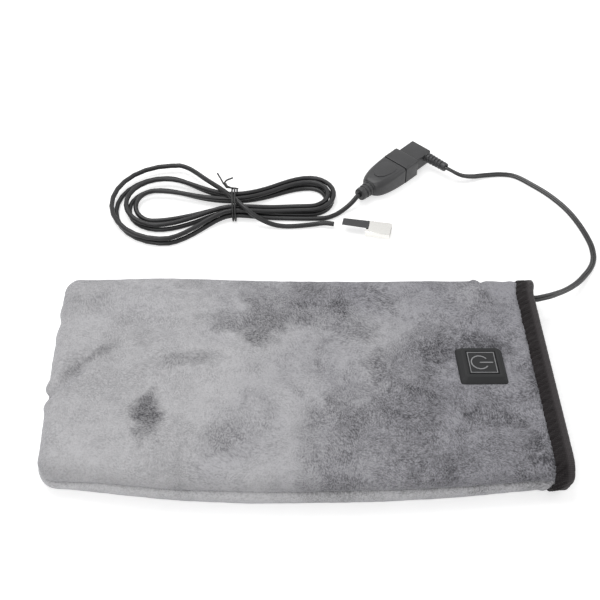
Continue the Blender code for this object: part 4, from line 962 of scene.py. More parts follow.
@dataclass
class Panel:
    """One sewn panel of the mitt, top or bottom, rolled down to the seam on three sides."""

    form: MittForm
    upper: bool
    mouth_x: float
    spacing: float = 0.0015
    flap: float = 0.0024
    flap_gap: float = 0.0002
    depth_at: Callable[[float], float] = field(default=lambda x: 0.0)
    spots: dict[int, PanelSpot] = field(default_factory=dict)

    def rows(self) -> list[Pair]:
        """Stations along the mitt as (x, share down the closed end's roll)."""
        start = -self.form.end + self.form.radius
        steps = round(self.form.radius * math.pi / 2 / self.spacing)
        rows = [(start, 2.0)] + [(start, 1.0 - step / steps) for step in range(steps)]
        count = round((self.mouth_x - start) / self.spacing)
        return rows + [(start + (self.mouth_x - start) * step / count, 0.0) for step in range(count + 1)]

    def columns(self) -> list[tuple[int, float]]:
        """Stations across the mitt as (side, share down the roll or across the flat)."""
        steps = round(self.form.radius * math.pi / 2 / self.spacing)
        rolled = [2.0] + [1.0 - step / steps for step in range(steps)]
        flat = round((self.form.closed_width - 2 * self.form.radius) / self.spacing)
        near = [(-1, share) for share in rolled]
        middle = [(0, 2.0 * step / flat - 1.0) for step in range(flat + 1)]
        return near + middle + [(1, share) for share in reversed(rolled)]

    def spot(self, row: Pair, column: tuple[int, float]) -> tuple[Vector, PanelSpot]:
        """Place one vertex.

        Args:
            row: A station along the mitt.
            column: A station across it.

        Returns:
            Its place and what is known of it.
        """
        form = self.form
        x, end_share = row
        side, across = column
        side_share = across if side else 0.0
        on_flap = end_share > 1.0 or side_share > 1.0
        end_share, side_share = min(end_share, 1.0), min(side_share, 1.0)
        share = max(end_share, side_share)
        if share <= 0.0:
            turn = 0.0
        elif side_share <= end_share:
            turn = math.pi / 4 * side_share / end_share
        else:
            turn = math.pi / 2 - math.pi / 4 * end_share / side_share
        depth = self.depth_at(x)
        band = 0.0 if self.upper else form.band(x)
        out, fall = form.roll(x, share, depth, band)
        core = form.half_width(x) - form.edge(x)
        if on_flap:
            out -= self.flap
        y = core * across if side == 0 else side * (core + out * math.sin(turn))
        top = form.seam(x) + form.edge(x) - depth
        if self.upper:
            z = top - fall + (form.crown_rise(x, y) if side == 0 and share == 0.0 else 0.0)
            z += self.flap_gap if on_flap else 0.0
        else:
            z = form.floor(x) + depth + fall - (self.flap_gap if on_flap else 0.0)
        length = (form.edge(x) - depth) * math.pi / 2 + band
        flat_way = min(core - abs(y), x + form.end - form.radius) if share == 0.0 else 0.0
        spot = PanelSpot(x, y, (1.0 - share) * length + max(flat_way, 0.0), on_flap)
        return form.plan(x - out * math.cos(turn) * (1.0 if end_share > 0.0 else 0.0), y, z), spot

    def surface(self) -> BMesh:
        """The panel's outer surface, with what is known of each vertex kept by its number."""
        rows, columns = self.rows(), self.columns()
        bm, stations = unit_grid(len(rows) - 1, len(columns) - 1)
        for vert, row, column in stations:
            vert.co, self.spots[vert.index] = self.spot(rows[row], columns[column])
        bmesh.ops.recalc_face_normals(bm, faces=bm.faces)
        facing = sum(face.normal.z * face.calc_area() for face in bm.faces)
        if (facing > 0) != self.upper:
            bmesh.ops.reverse_faces(bm, faces=bm.faces)
        bm.normal_update()
        return bm


@dataclass
class ButtonSeat:
    """Where the button's cover stands on the plush."""

    centre: Vector
    normal: Vector
    along: Vector
    half: float = 0.0140
    hole_half: float = 0.0125

    @classmethod
    def from_frame(cls, frame: dict) -> "ButtonSeat":
        """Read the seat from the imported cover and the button's joint.


        Returns:
            The seat.
        """
        joint = next(joint for joint in frame["joints"] if joint["name"] == "button_press")
        normal = Vector(joint["axis"]).normalized()
        corners = [vert.co.copy() for vert in frame["nodes"]["controller_cover"].data.vertices]
        lowest = min(corner.dot(normal) for corner in corners)
        feet = [corner for corner in corners if corner.dot(normal) < lowest + 0.0001]
        middle = sum(feet, Vector()) / len(feet)
        offsets = [corner - middle for corner in feet if corner.x > middle.x]
        far_corner = max((offset for offset in offsets if offset.y > 0.0), key=lambda offset: offset.length)
        near_corner = max((offset for offset in offsets if offset.y < 0.0), key=lambda offset: offset.length)
        along = far_corner.normalized() + near_corner.normalized()
        along = (along - normal * along.dot(normal)).normalized()
        return cls(middle, normal, along)

    def local(self, place: Vector) -> Pair:
        """Place in the seat's own plane."""
        offset = place - self.centre
        return offset.dot(self.along), offset.dot(self.normal.cross(self.along))

    def height(self, place: Vector) -> float:
        """Height of the seat's plane above a place in plan."""
        offset = place - self.centre
        return self.centre.z - (offset.x * self.normal.x + offset.y * self.normal.y) / self.normal.z


@dataclass(frozen=True)
class ButtonCover:
    """The soft cover round the cap: a rounded square foot, hollowed flanks and a flat top."""

    seat: ButtonSeat
    foot: float = 0.0145
    foot_slip: Pair = (-0.0004, -0.0009)
    brow: float = 0.01215
    top: float = 0.01165
    opening: float = 0.0091
    pocket: float = 0.0102
    height: float = 0.0037
    pocket_top: float = 0.0024
    underside: float = 0.0003

    def rims(self) -> list[Triple]:
        """Rims from the pocket's foot over the outside to the opening, as (height, half side, corner)."""
        low, high = self.underside, self.height
        outer = [(low, self.foot - 0.0003, 0.0026), (low + 0.0003, self.foot, 0.0028),
                 (low + 0.0009, self.foot - 0.0003, 0.0028), (low + 0.0016, self.foot - 0.0009, 0.0027),
                 (low + 0.0022, self.foot - 0.0014, 0.0026), (high - 0.0006, self.brow, 0.0024),
                 (high - 0.0002, self.brow - 0.00028, 0.0023), (high, self.top, 0.0022)]
        inner = [(high, self.opening + 0.00012, 0.0003), (high - 0.00012, self.opening, 0.0002),
                 (self.pocket_top, self.opening, 0.0002), (self.pocket_top, self.pocket, 0.0002)]
        return [(low, self.pocket, 0.0002), *outer, *inner]

    def build(self) -> Piece:
        """Build the cover as a closed ring round the cap."""
        rims = self.rims()
        outlines = [Ring(height, half, half, corner).points(8) for height, half, corner in rims]
        sides = len(outlines[0])
        across = self.seat.normal.cross(self.seat.along)
        bm, stations = unit_grid(len(rims), sides)
        for vert, column, row in stations:
            rim = column % len(rims)
            height, along, aside = outlines[rim][row % sides]
            slip = max(0.0, (rims[rim][1] - self.top) / (self.foot - self.top))
            along, aside = along + slip * self.foot_slip[0], aside + slip * self.foot_slip[1]
            vert.co = (self.seat.centre + self.seat.normal * (height - self.underside)
                       + self.seat.along * along + across * aside)
        weld(bm)
        piece = placed(finished_mesh(bm, "button_cover", 50.0), "button_cover")
        return finish_piece(piece, "mitt", BUTTON_RUBBER, ["controller_cover"])


@dataclass(frozen=True)
class Wave:
    """Smooth random unevenness of one size."""

    height: float
    size: float
    seed: float

    def at(self, place: Vector) -> float:
        """Its height at a place."""
        return self.height * ripple(place, self.size, self.seed)


@dataclass
class PlushShell:
    """The stuffed plush of the mitt, sewn from a top and a bottom panel.

    A pair of numbers is a height or depth and its reach. The pile round the seat has its distance between.
    """

    form: MittForm
    seat: ButtonSeat
    wall: float = 0.0013
    tape_cover: float = 0.0105
    broad: tuple[Wave, ...] = (Wave(0.0011, 0.062, 1.0), Wave(0.0006, 0.030, 2.0))
    fine: tuple[Wave, ...] = (Wave(0.00028, 0.0085, 3.0), Wave(0.00020, 0.0038, 5.0))
    pucker: Wave = Wave(0.00042, 0.0072, 7.0)
    seam_wander: Wave = Wave(0.0009, 0.055, 4.0)
    seam_reach: float = 0.0085
    seam_groove: Pair = (0.0017, 0.0016)
    tape_roll: Pair = (0.0009, 0.0035)
    tape_pinch: Pair = (0.0006, 0.0020)
    seat_reach: float = 0.011
    seat_pile: Triple = (0.0015, 0.0028, 0.0026)
    creases: tuple[Crease, ...] = (
        Crease(((-0.1560, -0.0190), (-0.1500, -0.0172), (-0.1430, -0.0130), (-0.1345, -0.0030),
                (-0.1250, 0.0110)), 0.0031, 0.0033, 0.0016, 0.0012),
        Crease(((0.1105, 0.0770), (0.1178, 0.0600), (0.1320, 0.0330)), -0.0011, 0.0019, -0.0012, 0.0),
        Crease(((-0.0500, -0.0060), (-0.0160, -0.0110), (0.0150, -0.0080)), 0.0007, 0.0045, 0.0004, 0.0003),
        Crease(((-0.1545, 0.0450), (-0.1400, 0.0390), (-0.1250, 0.0420)), 0.0008, 0.0050, 0.0004, 0.0004),
        Crease(((0.0600, 0.0300), (0.0660, 0.0080), (0.0700, -0.0200)), -0.0006, 0.0045, -0.0005, 0.0),
        Crease(((0.0950, -0.0300), (0.1120, -0.0380), (0.1330, -0.0420)), -0.0005, 0.0040, 0.0, -0.0005),
    )

    def seam_drop(self, x: float, y: float) -> float:
        """How far the seam sags at a place of the rim."""
        near_corner = bump_at(math.hypot(x + 0.146, y + 0.076), 0.026)
        far_corner = bump_at(math.hypot(x + 0.146, y - 0.076), 0.024)
        return self.seam_wander.at(Vector((x, y, 0.0))) - 0.0052 * near_corner - 0.0030 * far_corner + 0.0010

    def displacement(self, place: Vector, spot: PanelSpot, upper: bool) -> float:
        """How far the surface moves along its normal.

        Args:
            place: The vertex's place.
            spot: What is known of it.
            upper: Whether it is on the top panel.

        Returns:
            The distance, outwards positive.
        """
        inland = smooth_step(spot.seam_distance / 0.020)
        mouth_gap = self.form.end - self.tape_cover - spot.x
        open_field = smooth_step(mouth_gap / 0.035)
        push = sum(wave.at(place) for wave in self.broad) * (0.35 + 0.65 * inland) * open_field
        push += sum(wave.at(place) for wave in self.fine) * inland
        push += self.pucker.at(Vector((place.x, place.y, 0.0))) * bump_at(spot.seam_distance, self.seam_reach)
        push -= self.seam_groove[0] * bump_at(spot.seam_distance, self.seam_groove[1])
        if upper:
            for crease in self.creases:
                distance, share = distance_to_route(place.x, place.y, crease.route)
                fade = smooth_step(4.0 * min(share + 0.25, 1.0 - share))
                for height, aside in ((-crease.depth, 0.0), (crease.left_shoulder, -2.1),
                                      (crease.right_shoulder, 2.1)):
                    push += height * fade * bump_at(distance + aside * crease.width, crease.width)
        if mouth_gap < 0.0:
            return -0.0004
        push += self.tape_roll[0] * bump_at(mouth_gap - self.tape_roll[1], self.tape_roll[1])
        return push - self.tape_pinch[0] * bump_at(mouth_gap, self.tape_pinch[1])

    def build_panel(self, name: str, upper: bool, node: str) -> Piece:
        """Build and dress one panel.

        Args:
            name: The piece's name.
            upper: Whether it is the top panel.
            node: The CAD solid that it replaces.

        Returns:
            The piece.
        """
        panel = Panel(self.form, upper, self.form.end - 0.0012)
        bm = panel.surface()
        for vert in bm.verts:
            spot = panel.spots[vert.index]
            drop = self.seam_drop(vert.co.x, vert.co.y) * bump_at(spot.seam_distance, self.seam_reach)
            place = vert.co.copy()
            push = 0.0 if spot.on_flap else self.displacement(place, spot, upper)
            moved = place + vert.normal * push + Vector((0.0, 0.0, drop))
            moved += self.form.mouth_shift(spot.x, spot.y, place.z)
            if upper:
                side_x, side_y = self.seat.local(place)
                away = max(abs(side_x), abs(side_y)) - self.seat.half
                hold = 1.0 - smooth_step(away / self.seat_reach)
                height, middle, reach = self.seat_pile
                rim = height * bump_at(away - middle, reach) - 0.0004
                moved.z += (self.seat.height(moved) + rim - moved.z) * hold
            else:
                moved.z = max(moved.z, 2 * FLOOR_GAP)
            vert.co = moved
        if upper:
            seat_faces = [face for face in bm.faces if self.in_seat(face.calc_center_median())]
            bmesh.ops.delete(bm, geom=seat_faces, context="FACES")
        piece = placed(finished_mesh(bm, name, 75.0), name)
        add_wall(piece, self.wall)
        # the lower panel takes the lighter copy of the plush, with painted light
        finish_piece(piece, "mitt", PLUSH if upper else PLUSH_LOW_LIT, [node])
        return piece

    def in_seat(self, place: Vector) -> bool:
        """Whether a face lies where the tray comes through."""
        side_x, side_y = self.seat.local(place)
        return max(abs(side_x), abs(side_y)) < self.seat.hole_half and place.z > self.form.seam(place.x)

    def build(self) -> None:
        """Build both panels."""
        self.build_panel("plush_top", True, "outer_top_panel")
        self.build_panel("plush_bottom", False, "outer_bottom_panel")


@dataclass
class PocketLining:
    """The pocket that the hand goes into."""

    form: MittForm
    depth: float = 0.0078
    hem_depth: float = 0.0055
    hem_ramp: float = 0.0060
    wall: float = 0.0013
    inland_reach: float = 0.012
    folds: Wave = Wave(0.0004, 0.021, 9.0)

    def depth_at(self, x: float) -> float:
        """Depth of the lining's outer face, which comes up to the plush in the hem."""
        hem = self.form.end - self.form.hem_length
        return self.depth + (self.hem_depth - self.depth) * smooth_step((x - hem) / self.hem_ramp)

    def build(self) -> None:
        """Build the upper and the lower half."""
        for name, upper, node in (("lining_upper", True, "lining_top"),
                                  ("lining_lower", False, "lining_bottom")):
            panel = Panel(self.form, upper, self.form.end - 0.0014, spacing=0.0030, flap=0.0012,
                          depth_at=self.depth_at)
            bm = panel.surface()
            for vert in bm.verts:
                spot = panel.spots[vert.index]
                inland = smooth_step(spot.seam_distance / self.inland_reach)
                vert.co += vert.normal * inland * self.folds.at(vert.co)
                vert.co += self.form.mouth_shift(spot.x, spot.y, vert.co.z)
            piece = placed(finished_mesh(bm, name, 75.0), name)
            add_wall(piece, self.wall)
            finish_piece(piece, "mitt", LINING, [node])


@dataclass
class MouthTape:
    """The gathered elastic tape folded over the mouth's edge."""

    form: MittForm
    pitch: float = 0.0044
    samples: int = 9
    wall: float = 0.0005
    ruffle: float = 0.0008
    profile: tuple[Pair, ...] = (
        (-0.0112, 0.0002), (-0.0111, 0.0007), (-0.0107, 0.0010), (-0.0098, 0.0012), (-0.0086, 0.0013),
        (-0.0073, 0.0013), (-0.0060, 0.0012), (-0.0047, 0.0012), (-0.0034, 0.0014), (-0.0021, 0.0015),
        (-0.0010, 0.0013), (-0.0002, 0.0007), (0.0003, -0.0003), (0.0006, -0.0016), (0.0007, -0.0032),
        (0.0006, -0.0050), (0.0004, -0.0066), (-0.0001, -0.0078), (-0.0009, -0.0084), (-0.0022, -0.0086),
        (-0.0040, -0.0085), (-0.0058, -0.0084), (-0.0070, -0.0082), (-0.0073, -0.0077),
    )

    def section(self, walked: float) -> tuple[float, float, float, float]:
        """Walk round the mouth's outer section, whose far half is the near half turned over.

        Args:
            walked: Distance from the middle of the underside, towards +Y.

        Returns:
            The place (y, z) and the outward direction (y, z) there.
        """
        x = self.form.end
        radius, core = self.form.edge(x), self.form.half_width(x) - self.form.edge(x)
        band, floor = self.form.band(x), self.form.floor(x)
        arc, middle = radius * math.pi / 2, floor + radius + band / 2
        side = 1 if walked < self.girth / 2 else -1
        step = walked - (0.0 if side > 0 else self.girth / 2)
        upright = min(max(step - core - arc, 0.0), band)
        angle = min(max(step - core - upright, 0.0) / radius, math.pi)
        flat = min(step, core) - max(step - core - 2 * arc - band, 0.0)
        out, up = math.sin(angle), -math.cos(angle)
        y, z = flat + radius * out, upright - band / 2 + radius * up
        return side * y, middle + side * z, side * out, side * up

    @property
    def girth(self) -> float:
        """Distance round the mouth's outer section."""
        x = self.form.end
        radius, core = self.form.edge(x), self.form.half_width(x) - self.form.edge(x)
        return 4 * core + 2 * math.pi * radius + 2 * self.form.band(x)

    def build(self) -> Piece:
        """Build the tape as a grid that is closed into a ring."""
        ripples = round(self.girth / self.pitch)
        around = ripples * self.samples
        bm, stations = unit_grid(around, len(self.profile) - 1)
        chart = bm.loops.layers.uv.new("along")
        marks: dict[int, Pair] = {}
        for vert, column, step in stations:
            turn = column % around
            marks[vert.index] = (self.girth * 1000.0 * column / around, float(step))
            vert.co = self.place(self.girth * turn / around, turn / self.samples, step)
        for face in bm.faces:
            for loop in face.loops:
                loop[chart].uv = marks[loop.vert.index]
        weld(bm)
        outward = sum(face.normal.z * face.calc_area() for face in bm.faces
                      if face.calc_center_median().z > self.form.seam(self.form.end) + 0.011)
        if outward < 0:
            bmesh.ops.reverse_faces(bm, faces=bm.faces)
        piece = placed(finished_mesh(bm, "mouth_tape", 80.0), "mouth_tape")
        add_wall(piece, self.wall)
        return finish_piece(piece, "mitt", TAPE, ["mouth_binding"])

    def place(self, walked: float, ripples: float, step: int) -> Vector:
        """Place one vertex of the tape.

        Args:
            walked: Distance round the mouth.
            ripples: The same, counted in ripples.
            step: Step along the profile.

        Returns:
            The place.
        """
        back, out = self.profile[step]
        y, z, dir_y, dir_z = self.section(walked)
        angle = 2 * math.pi * walked / self.girth
        around = Vector((math.cos(angle), math.sin(angle), 0.0))
        drift = 0.55 * ripple(around, 0.22, 1.0) + 0.25 * ripple(around, 0.07, 3.0)
        phase = 2 * math.pi * (ripples + drift + back / 0.0062)
        gathered = smooth_step((-0.0036 - back) / 0.0030) if out > 0.0 else 0.0
        height = max(0.25, 0.80 + 0.85 * ripple(around, 0.060, 6.0))
        crest = math.sin(phase) + 0.25 * math.sin(2.0 * phase + 0.6)
        out += self.ruffle * height * gathered * crest
        out += 0.00012 * math.sin(phase + 1.0) * (1.0 - gathered)
        out += 0.00025 * ripple(around, 0.11, 8.0)
        if step < 4:
            back += 0.00016 * height * math.cos(phase) + 0.0004 * ripple(around, 0.16, 2.0)
        place = self.form.plan(self.form.end + back, y + out * dir_y, z + out * dir_z)
        place += self.form.mouth_shift(self.form.end, y, z)
        place.z = max(place.z, FLOOR_GAP)
        return place


# Cords


@dataclass(frozen=True)
class CordSection:
    """A cord's cross-section: round, or two cores side by side."""

    width: float
    thickness: float
    sides: int = 12

    def outline(self) -> list[Pair]:
        """The section's outline in the plane across the cord."""
        core = self.thickness / 2
        offset = self.width / 2 - core
        points: list[Pair] = []
        for step in range(self.sides):
            angle = 2 * math.pi * step / self.sides
            if offset <= 0.0:
                points.append((core * math.cos(angle), core * math.sin(angle)))
                continue
            x = self.width / 2 * math.cos(angle)
            inner = core ** 2 - (abs(x) - offset) ** 2
            waist = 0.40 * core
            y = max(math.sqrt(max(inner, 0.0)), waist if abs(x) < offset else 0.0)
            points.append((x, math.copysign(y, math.sin(angle)) if abs(math.sin(angle)) > 1e-6 else 0.0))
        return points


def swept(name: str, points: Sequence[Vector], section: CordSection,
          tilt_at: Callable[[float], float] = lambda share: 0.0) -> Piece:
    """A cord along points, as a mesh.

    Args:
        name: The piece's name.
        points: Its centreline.
        section: Its cross-section.
        tilt_at: Turn about the centreline, in radians, by share of the length.

    Returns:
        The piece.
    """
    rim = bpy.data.curves.new(name + "_section", "CURVE")
    rim.dimensions = "2D"
    outline = section.outline()
    ring = rim.splines.new("POLY")
    ring.points.add(len(outline) - 1)
    for knot, (x, y) in zip(ring.points, outline):
        knot.co = (x, y, 0.0, 1.0)
    ring.use_cyclic_u = True
    tool = placed(rim, name + "_section")
    line = bpy.data.curves.new(name, "CURVE")
    line.dimensions = "3D"
    line.twist_mode = "Z_UP"
    line.bevel_mode = "OBJECT"
    line.bevel_object = tool
    line.use_fill_caps = True
    spline = line.splines.new("POLY")
    spline.points.add(len(points) - 1)
    for index, (knot, point) in enumerate(zip(spline.points, points)):
        knot.co = (*point, 1.0)
        knot.tilt = tilt_at(index / (len(points) - 1))
    piece = baked(placed(line, name))
    bpy.data.objects.remove(tool, do_unlink=True)
    bm = bmesh.new()
    bm.from_mesh(piece.data)
    weld(bm)
    bm.to_mesh(piece.data)
    bm.free()
    smooth_below(piece.data, 60.0)
    return piece


@dataclass
class Lead:
    """The flat twin lead from the mouth to the right-angle plug."""

    width: float = 0.0042
    thickness: float = 0.0021
    spacing: float = 0.0026
    exit: Triple = (0.14715, 0.06315, 0.01935)
    route: tuple[Triple, ...] = (
        (0.1586, 0.0673, 0.0175), (0.1638, 0.0717, 0.0150), (0.1705, 0.0781, 0.0113),
        (0.1772, 0.0851, 0.0082), (0.1835, 0.0925, 0.0057), (0.1890, 0.1005, 0.0036),
        (0.1940, 0.1085, 0.0021), (0.1973, 0.1161, 0.0013), (0.1988, 0.1239, 0.0011),
        (0.1984, 0.1354, 0.0011), (0.1944, 0.1525, 0.0011), (0.1878, 0.1695, 0.0011),
        (0.1778, 0.1851, 0.0011), (0.1666, 0.1973, 0.0011), (0.1560, 0.2066, 0.0011),
        (0.1460, 0.2090, 0.0011), (0.1340, 0.2075, 0.0016), (0.1245, 0.2044, 0.0032),
        (0.1160, 0.2028, 0.0057),
    )

    def tilt(self, share: float) -> float:
        """The lead's turn: it leaves the tape on edge and lies flat further on."""
        start = 38.0 * (1.0 - smooth_step(share / 0.16))
        middle = 34.0 * bump_at(share - 0.30, 0.06)
        end = 30.0 * smooth_step((share - 0.90) / 0.10)
        return math.radians(start + middle + end)

    def build(self, tip: Vector, heading: Vector, pieces: Sequence[Piece]) -> None:
        """Build the lead.

        Args:
            tip: End of the plug's strain relief.
            heading: Direction out of the relief.
            pieces: Not used.
        """
        start = Vector(self.exit)
        ahead = Vector((STRAIGHT_END, 0.0, 0.0))
        inner = [start + ahead, *map(Vector, self.route), tip + heading * STRAIGHT_END]
        points = [start - ahead, start, *smooth_route(inner, self.spacing), tip - heading * CORD_SUNK]
        section = CordSection(self.width, self.thickness, 24)
        piece = swept("lead", points, section, self.tilt)
        for vert in piece.data.vertices:
            vert.co.z = max(vert.co.z, FLOOR_GAP)
        finish_piece(piece, "mitt", LEAD_SHEATH, ["lead_cord"])


@dataclass
class ExtensionCord:
    """The extension cord, folded into a tied hank."""

    diameter: float = 0.0034
    solid_diameter: float = 0.0033
    spacing: float = 0.0024
    turn_steps: int = 64
    turns: float = 4.5
    run_share: float = 7.0 / 12.0
    left_x: float = -0.1026
    left_x_pitch: float = 0.0045
    waist_x: float = -0.0460
    right_x: float = 0.0065
    left_y: float = 0.1732
    left_upper_shift: float = 0.0018
    waist_y: float = 0.1739
    right_y: float = 0.1815
    right_upper_shift: float = 0.0025
    left_inner: float = 0.0130
    left_pitch: float = 0.0104
    left_growth: float = 1.25
    right_inner: float = 0.0108
    right_pitch: float = 0.0042
    waist_half: float = 0.0020
    waist_pitch: float = 0.0042
    layer_gap: float = 0.0005
    waist_lift: float = 0.0020
    lift_reach: float = 0.0300
    spiral_start: float = 2.2
    climb_from: float = 2.29
    climb_to: float = 2.5
    upper_level_shift: float = 0.2
    shift_turns: float = 0.5
    socket_route: tuple[Triple, ...] = (
        (0.0365, 0.1745, 0.0050), (0.0310, 0.1700, 0.0028), (0.0250, 0.1655, 0.0018),
        (0.0185, 0.1621, 0.0018),
    )
    plug_route: tuple[Triple, ...] = (
        (-0.0800, 0.2124, 0.0058), (-0.0740, 0.2062, 0.0066), (-0.0680, 0.1982, 0.0082),
        (-0.0615, 0.1900, 0.0100), (-0.0545, 0.1817, 0.0113), (-0.0470, 0.1730, 0.0115),
        (-0.0410, 0.1655, 0.0114),
        (-0.0350, 0.1599, 0.0096), (-0.0280, 0.1565, 0.0062), (-0.0200, 0.1545, 0.0032),
        (-0.0120, 0.1537, 0.0018), (-0.0034, 0.1537, 0.0018), (0.0080, 0.1549, 0.0020),
        (0.0150, 0.1555, 0.0027),
    )

    def level(self, turns: float) -> float:
        """How many pitches outside the innermost loop the cord lies."""
        if turns < self.spiral_start:
            return self.spiral_start - turns
        wound = max(0.0, turns - self.climb_to)
        return wound + self.upper_level_shift * smooth_step(wound / self.shift_turns)

    def point(self, turns: float) -> Vector:
        """The cord's centre in the hank after some turns."""
        level = self.level(turns)
        climb = smooth_step((turns - self.climb_from) / (self.climb_to - self.climb_from))
        left = self.left_inner + level ** self.left_growth * self.left_pitch
        right = self.right_inner + level * self.right_pitch
        waist = self.waist_half + level * self.waist_pitch
        left_x = self.left_x + level * self.left_x_pitch
        left_y = self.left_y + climb * self.left_upper_shift
        right_y = self.right_y + climb * self.right_upper_shift
        share = turns % 1.0
        side = -1 if share < 0.5 else 1
        part = (share % 0.5) / 0.5
        if part <= self.run_share:
            along = part / self.run_share if side < 0 else 1.0 - part / self.run_share
            x = self.right_x + (left_x - self.right_x) * along
            if x > self.waist_x:
                ease = smooth_step((self.right_x - x) / (self.right_x - self.waist_x))
                half = right + (waist - right) * ease
                middle = right_y + (self.waist_y - right_y) * ease
            else:
                ease = smooth_step((x - left_x) / (self.waist_x - left_x))
                half = left + (waist - left) * ease
                middle = left_y + (self.waist_y - left_y) * ease
            y = middle + side * half
        else:
            angle = math.pi * (part - self.run_share) / (1.0 - self.run_share)
            if side < 0:
                x, y = left_x - left * math.sin(angle), left_y - left * math.cos(angle)
            else:
                x, y = self.right_x + right * math.sin(angle), right_y + right * math.cos(angle)
        near = 1.0 - smooth_step(abs(x - self.waist_x) / self.lift_reach)
        z = self.solid_diameter / 2 + FLOOR_GAP + climb * (self.solid_diameter + self.layer_gap)
        return Vector((x, y, z + self.waist_lift * near))

    def build(self, start: Vector, start_heading: Vector, end: Vector, end_heading: Vector,
              pieces: Sequence[Piece]) -> None:
        """Build the cord.

        Args:
            start: End of the socket's relief.
            start_heading: Direction out of it.
            end: End of the end plug's relief.
            end_heading: Direction into it.
            pieces: Not used.
        """
        count = round(self.turns * self.turn_steps)
        hank = [self.point(self.turns * index / count) for index in range(count + 1)]
        stub = Vector((self.solid_diameter, 0.0, 0.0))
        first = [start + start_heading * STRAIGHT_END, *map(Vector, self.socket_route),
                 hank[0] + 2 * stub, hank[0] + stub]
        last = [hank[-1] + stub, hank[-1] + 2 * stub, *map(Vector, self.plug_route),
                end - end_heading * STRAIGHT_END]
        points = [start - start_heading * CORD_SUNK, start, *smooth_route(first, self.spacing), *hank,
                  *smooth_route(last, self.spacing), end, end + end_heading * CORD_SUNK]
        piece = swept("extension_cord", points, CordSection(self.diameter, self.diameter, 12))
        finish_piece(piece, "extension_cable", CORD_SHEATH, [
            "extension_cord_hank", "extension_cord_socket_end", "extension_cord_plug_end"])
        LOG.info("extension cord %.3f m", route_length(points))


@dataclass
class TwistTie:
    """The thin tie that is wound twice round the hank's waist and twisted."""

    radius: float = 0.0006
    pitch: float = 0.0017
    twist_turns: float = 1.5
    twist_steps: int = 12
    x: float = -0.0460
    ring: tuple[Pair, ...] = (
        (0.1729, 0.0150), (0.1679, 0.0150), (0.1641, 0.0130), (0.1602, 0.0088), (0.1598, 0.0034),
        (0.1606, 0.0016), (0.1623, 0.0008), (0.1831, 0.0008), (0.1849, 0.0016), (0.1857, 0.0034),
        (0.1855, 0.0084), (0.1821, 0.0122), (0.1775, 0.0145),
    )
    knot: Triple = (-0.0510, 0.1790, 0.0164)
    twist_end: Triple = (-0.0533, 0.1826, 0.0172)
    tails: tuple[tuple[Triple, ...], ...] = (
        ((-0.0556, 0.1862, 0.0178), (-0.0581, 0.1915, 0.0184)),
        ((-0.0512, 0.1852, 0.0174), (-0.0472, 0.1876, 0.0174)),
    )

    def build(self) -> Piece:
        """Build the tie."""
        loops = 2 * len(self.ring)
        order = self.ring[-2:] + self.ring[:-2]
        points = []
        for index in range(loops + 1):
            y, z = order[index % len(order)]
            points.append(Vector((self.x + self.pitch * (index / len(self.ring) - 1.0), y, z)))
        knot, far = Vector(self.knot), Vector(self.twist_end)
        axis = (far - knot).normalized()
        side = axis.cross(Vector((0.0, 0.0, 1.0))).normalized()
        other = axis.cross(side)
        strands = []
        for turn, tail in enumerate(self.tails):
            strand = []
            for step in range(self.twist_steps + 1):
                share = step / self.twist_steps
                angle = math.pi * turn + 2 * math.pi * self.twist_turns * share
                strand.append(knot.lerp(far, share)
                              + (side * math.cos(angle) + other * math.sin(angle)) * self.radius * 1.15)
            strands.append([*strand, *map(Vector, tail)])
        whole = [*reversed(strands[0]), *points, *strands[1]]
        piece = swept("hank_twist_tie", smooth_route(whole, 0.0009),
                      CordSection(2 * self.radius, 2 * self.radius, 8))
        return finish_piece(piece, "extension_cable", TIE_WIRE, ["hank_tie"])


# Plugs and the socket


def round_over(x: float, inward: int, half_y: float, half_z: float, corner: float, radius: float,
               steps: int = 4) -> list[Ring]:
    """Sections that lead from a flat end over a rounded rim to the side.

    Args:
        x: The flat end's place.
        inward: 1 or -1, the way from the end into the moulding.
        half_y: Half of the side's width.
        half_z: Half of the side's height.
        corner: Corner radius of the side's section.
        radius: Radius of the rim.
        steps: Steps round the rim.

    Returns:
        The sections, from the end to the side.
    """
    rings = []
    for step in range(steps + 1):
        angle = math.pi / 2 * step / steps
        inset = radius * (1.0 - math.sin(angle))
        rings.append(Ring(x + inward * radius * (1.0 - math.cos(angle)), half_y - inset, half_z - inset,
                          max(corner - inset, 0.0001)))
    return rings


def lofted(rings: Sequence[Ring], per_corner: int = 8) -> BMesh:
    """Join cross-sections into a closed skin.

    Args:
        rings: The sections in order.
        per_corner: Points at each corner.

    Returns:
        The skin as a bmesh.
    """
    sides = 4 * per_corner
    outlines = [ring.points(per_corner) for ring in rings]
    bm, stations = unit_grid(len(rings) - 1, sides)
    for vert, ring, side in stations:
        vert.co = outlines[ring][side % sides]
    bmesh.ops.remove_doubles(bm, verts=bm.verts, dist=MERGE)
    close_holes(bm)
    return bm


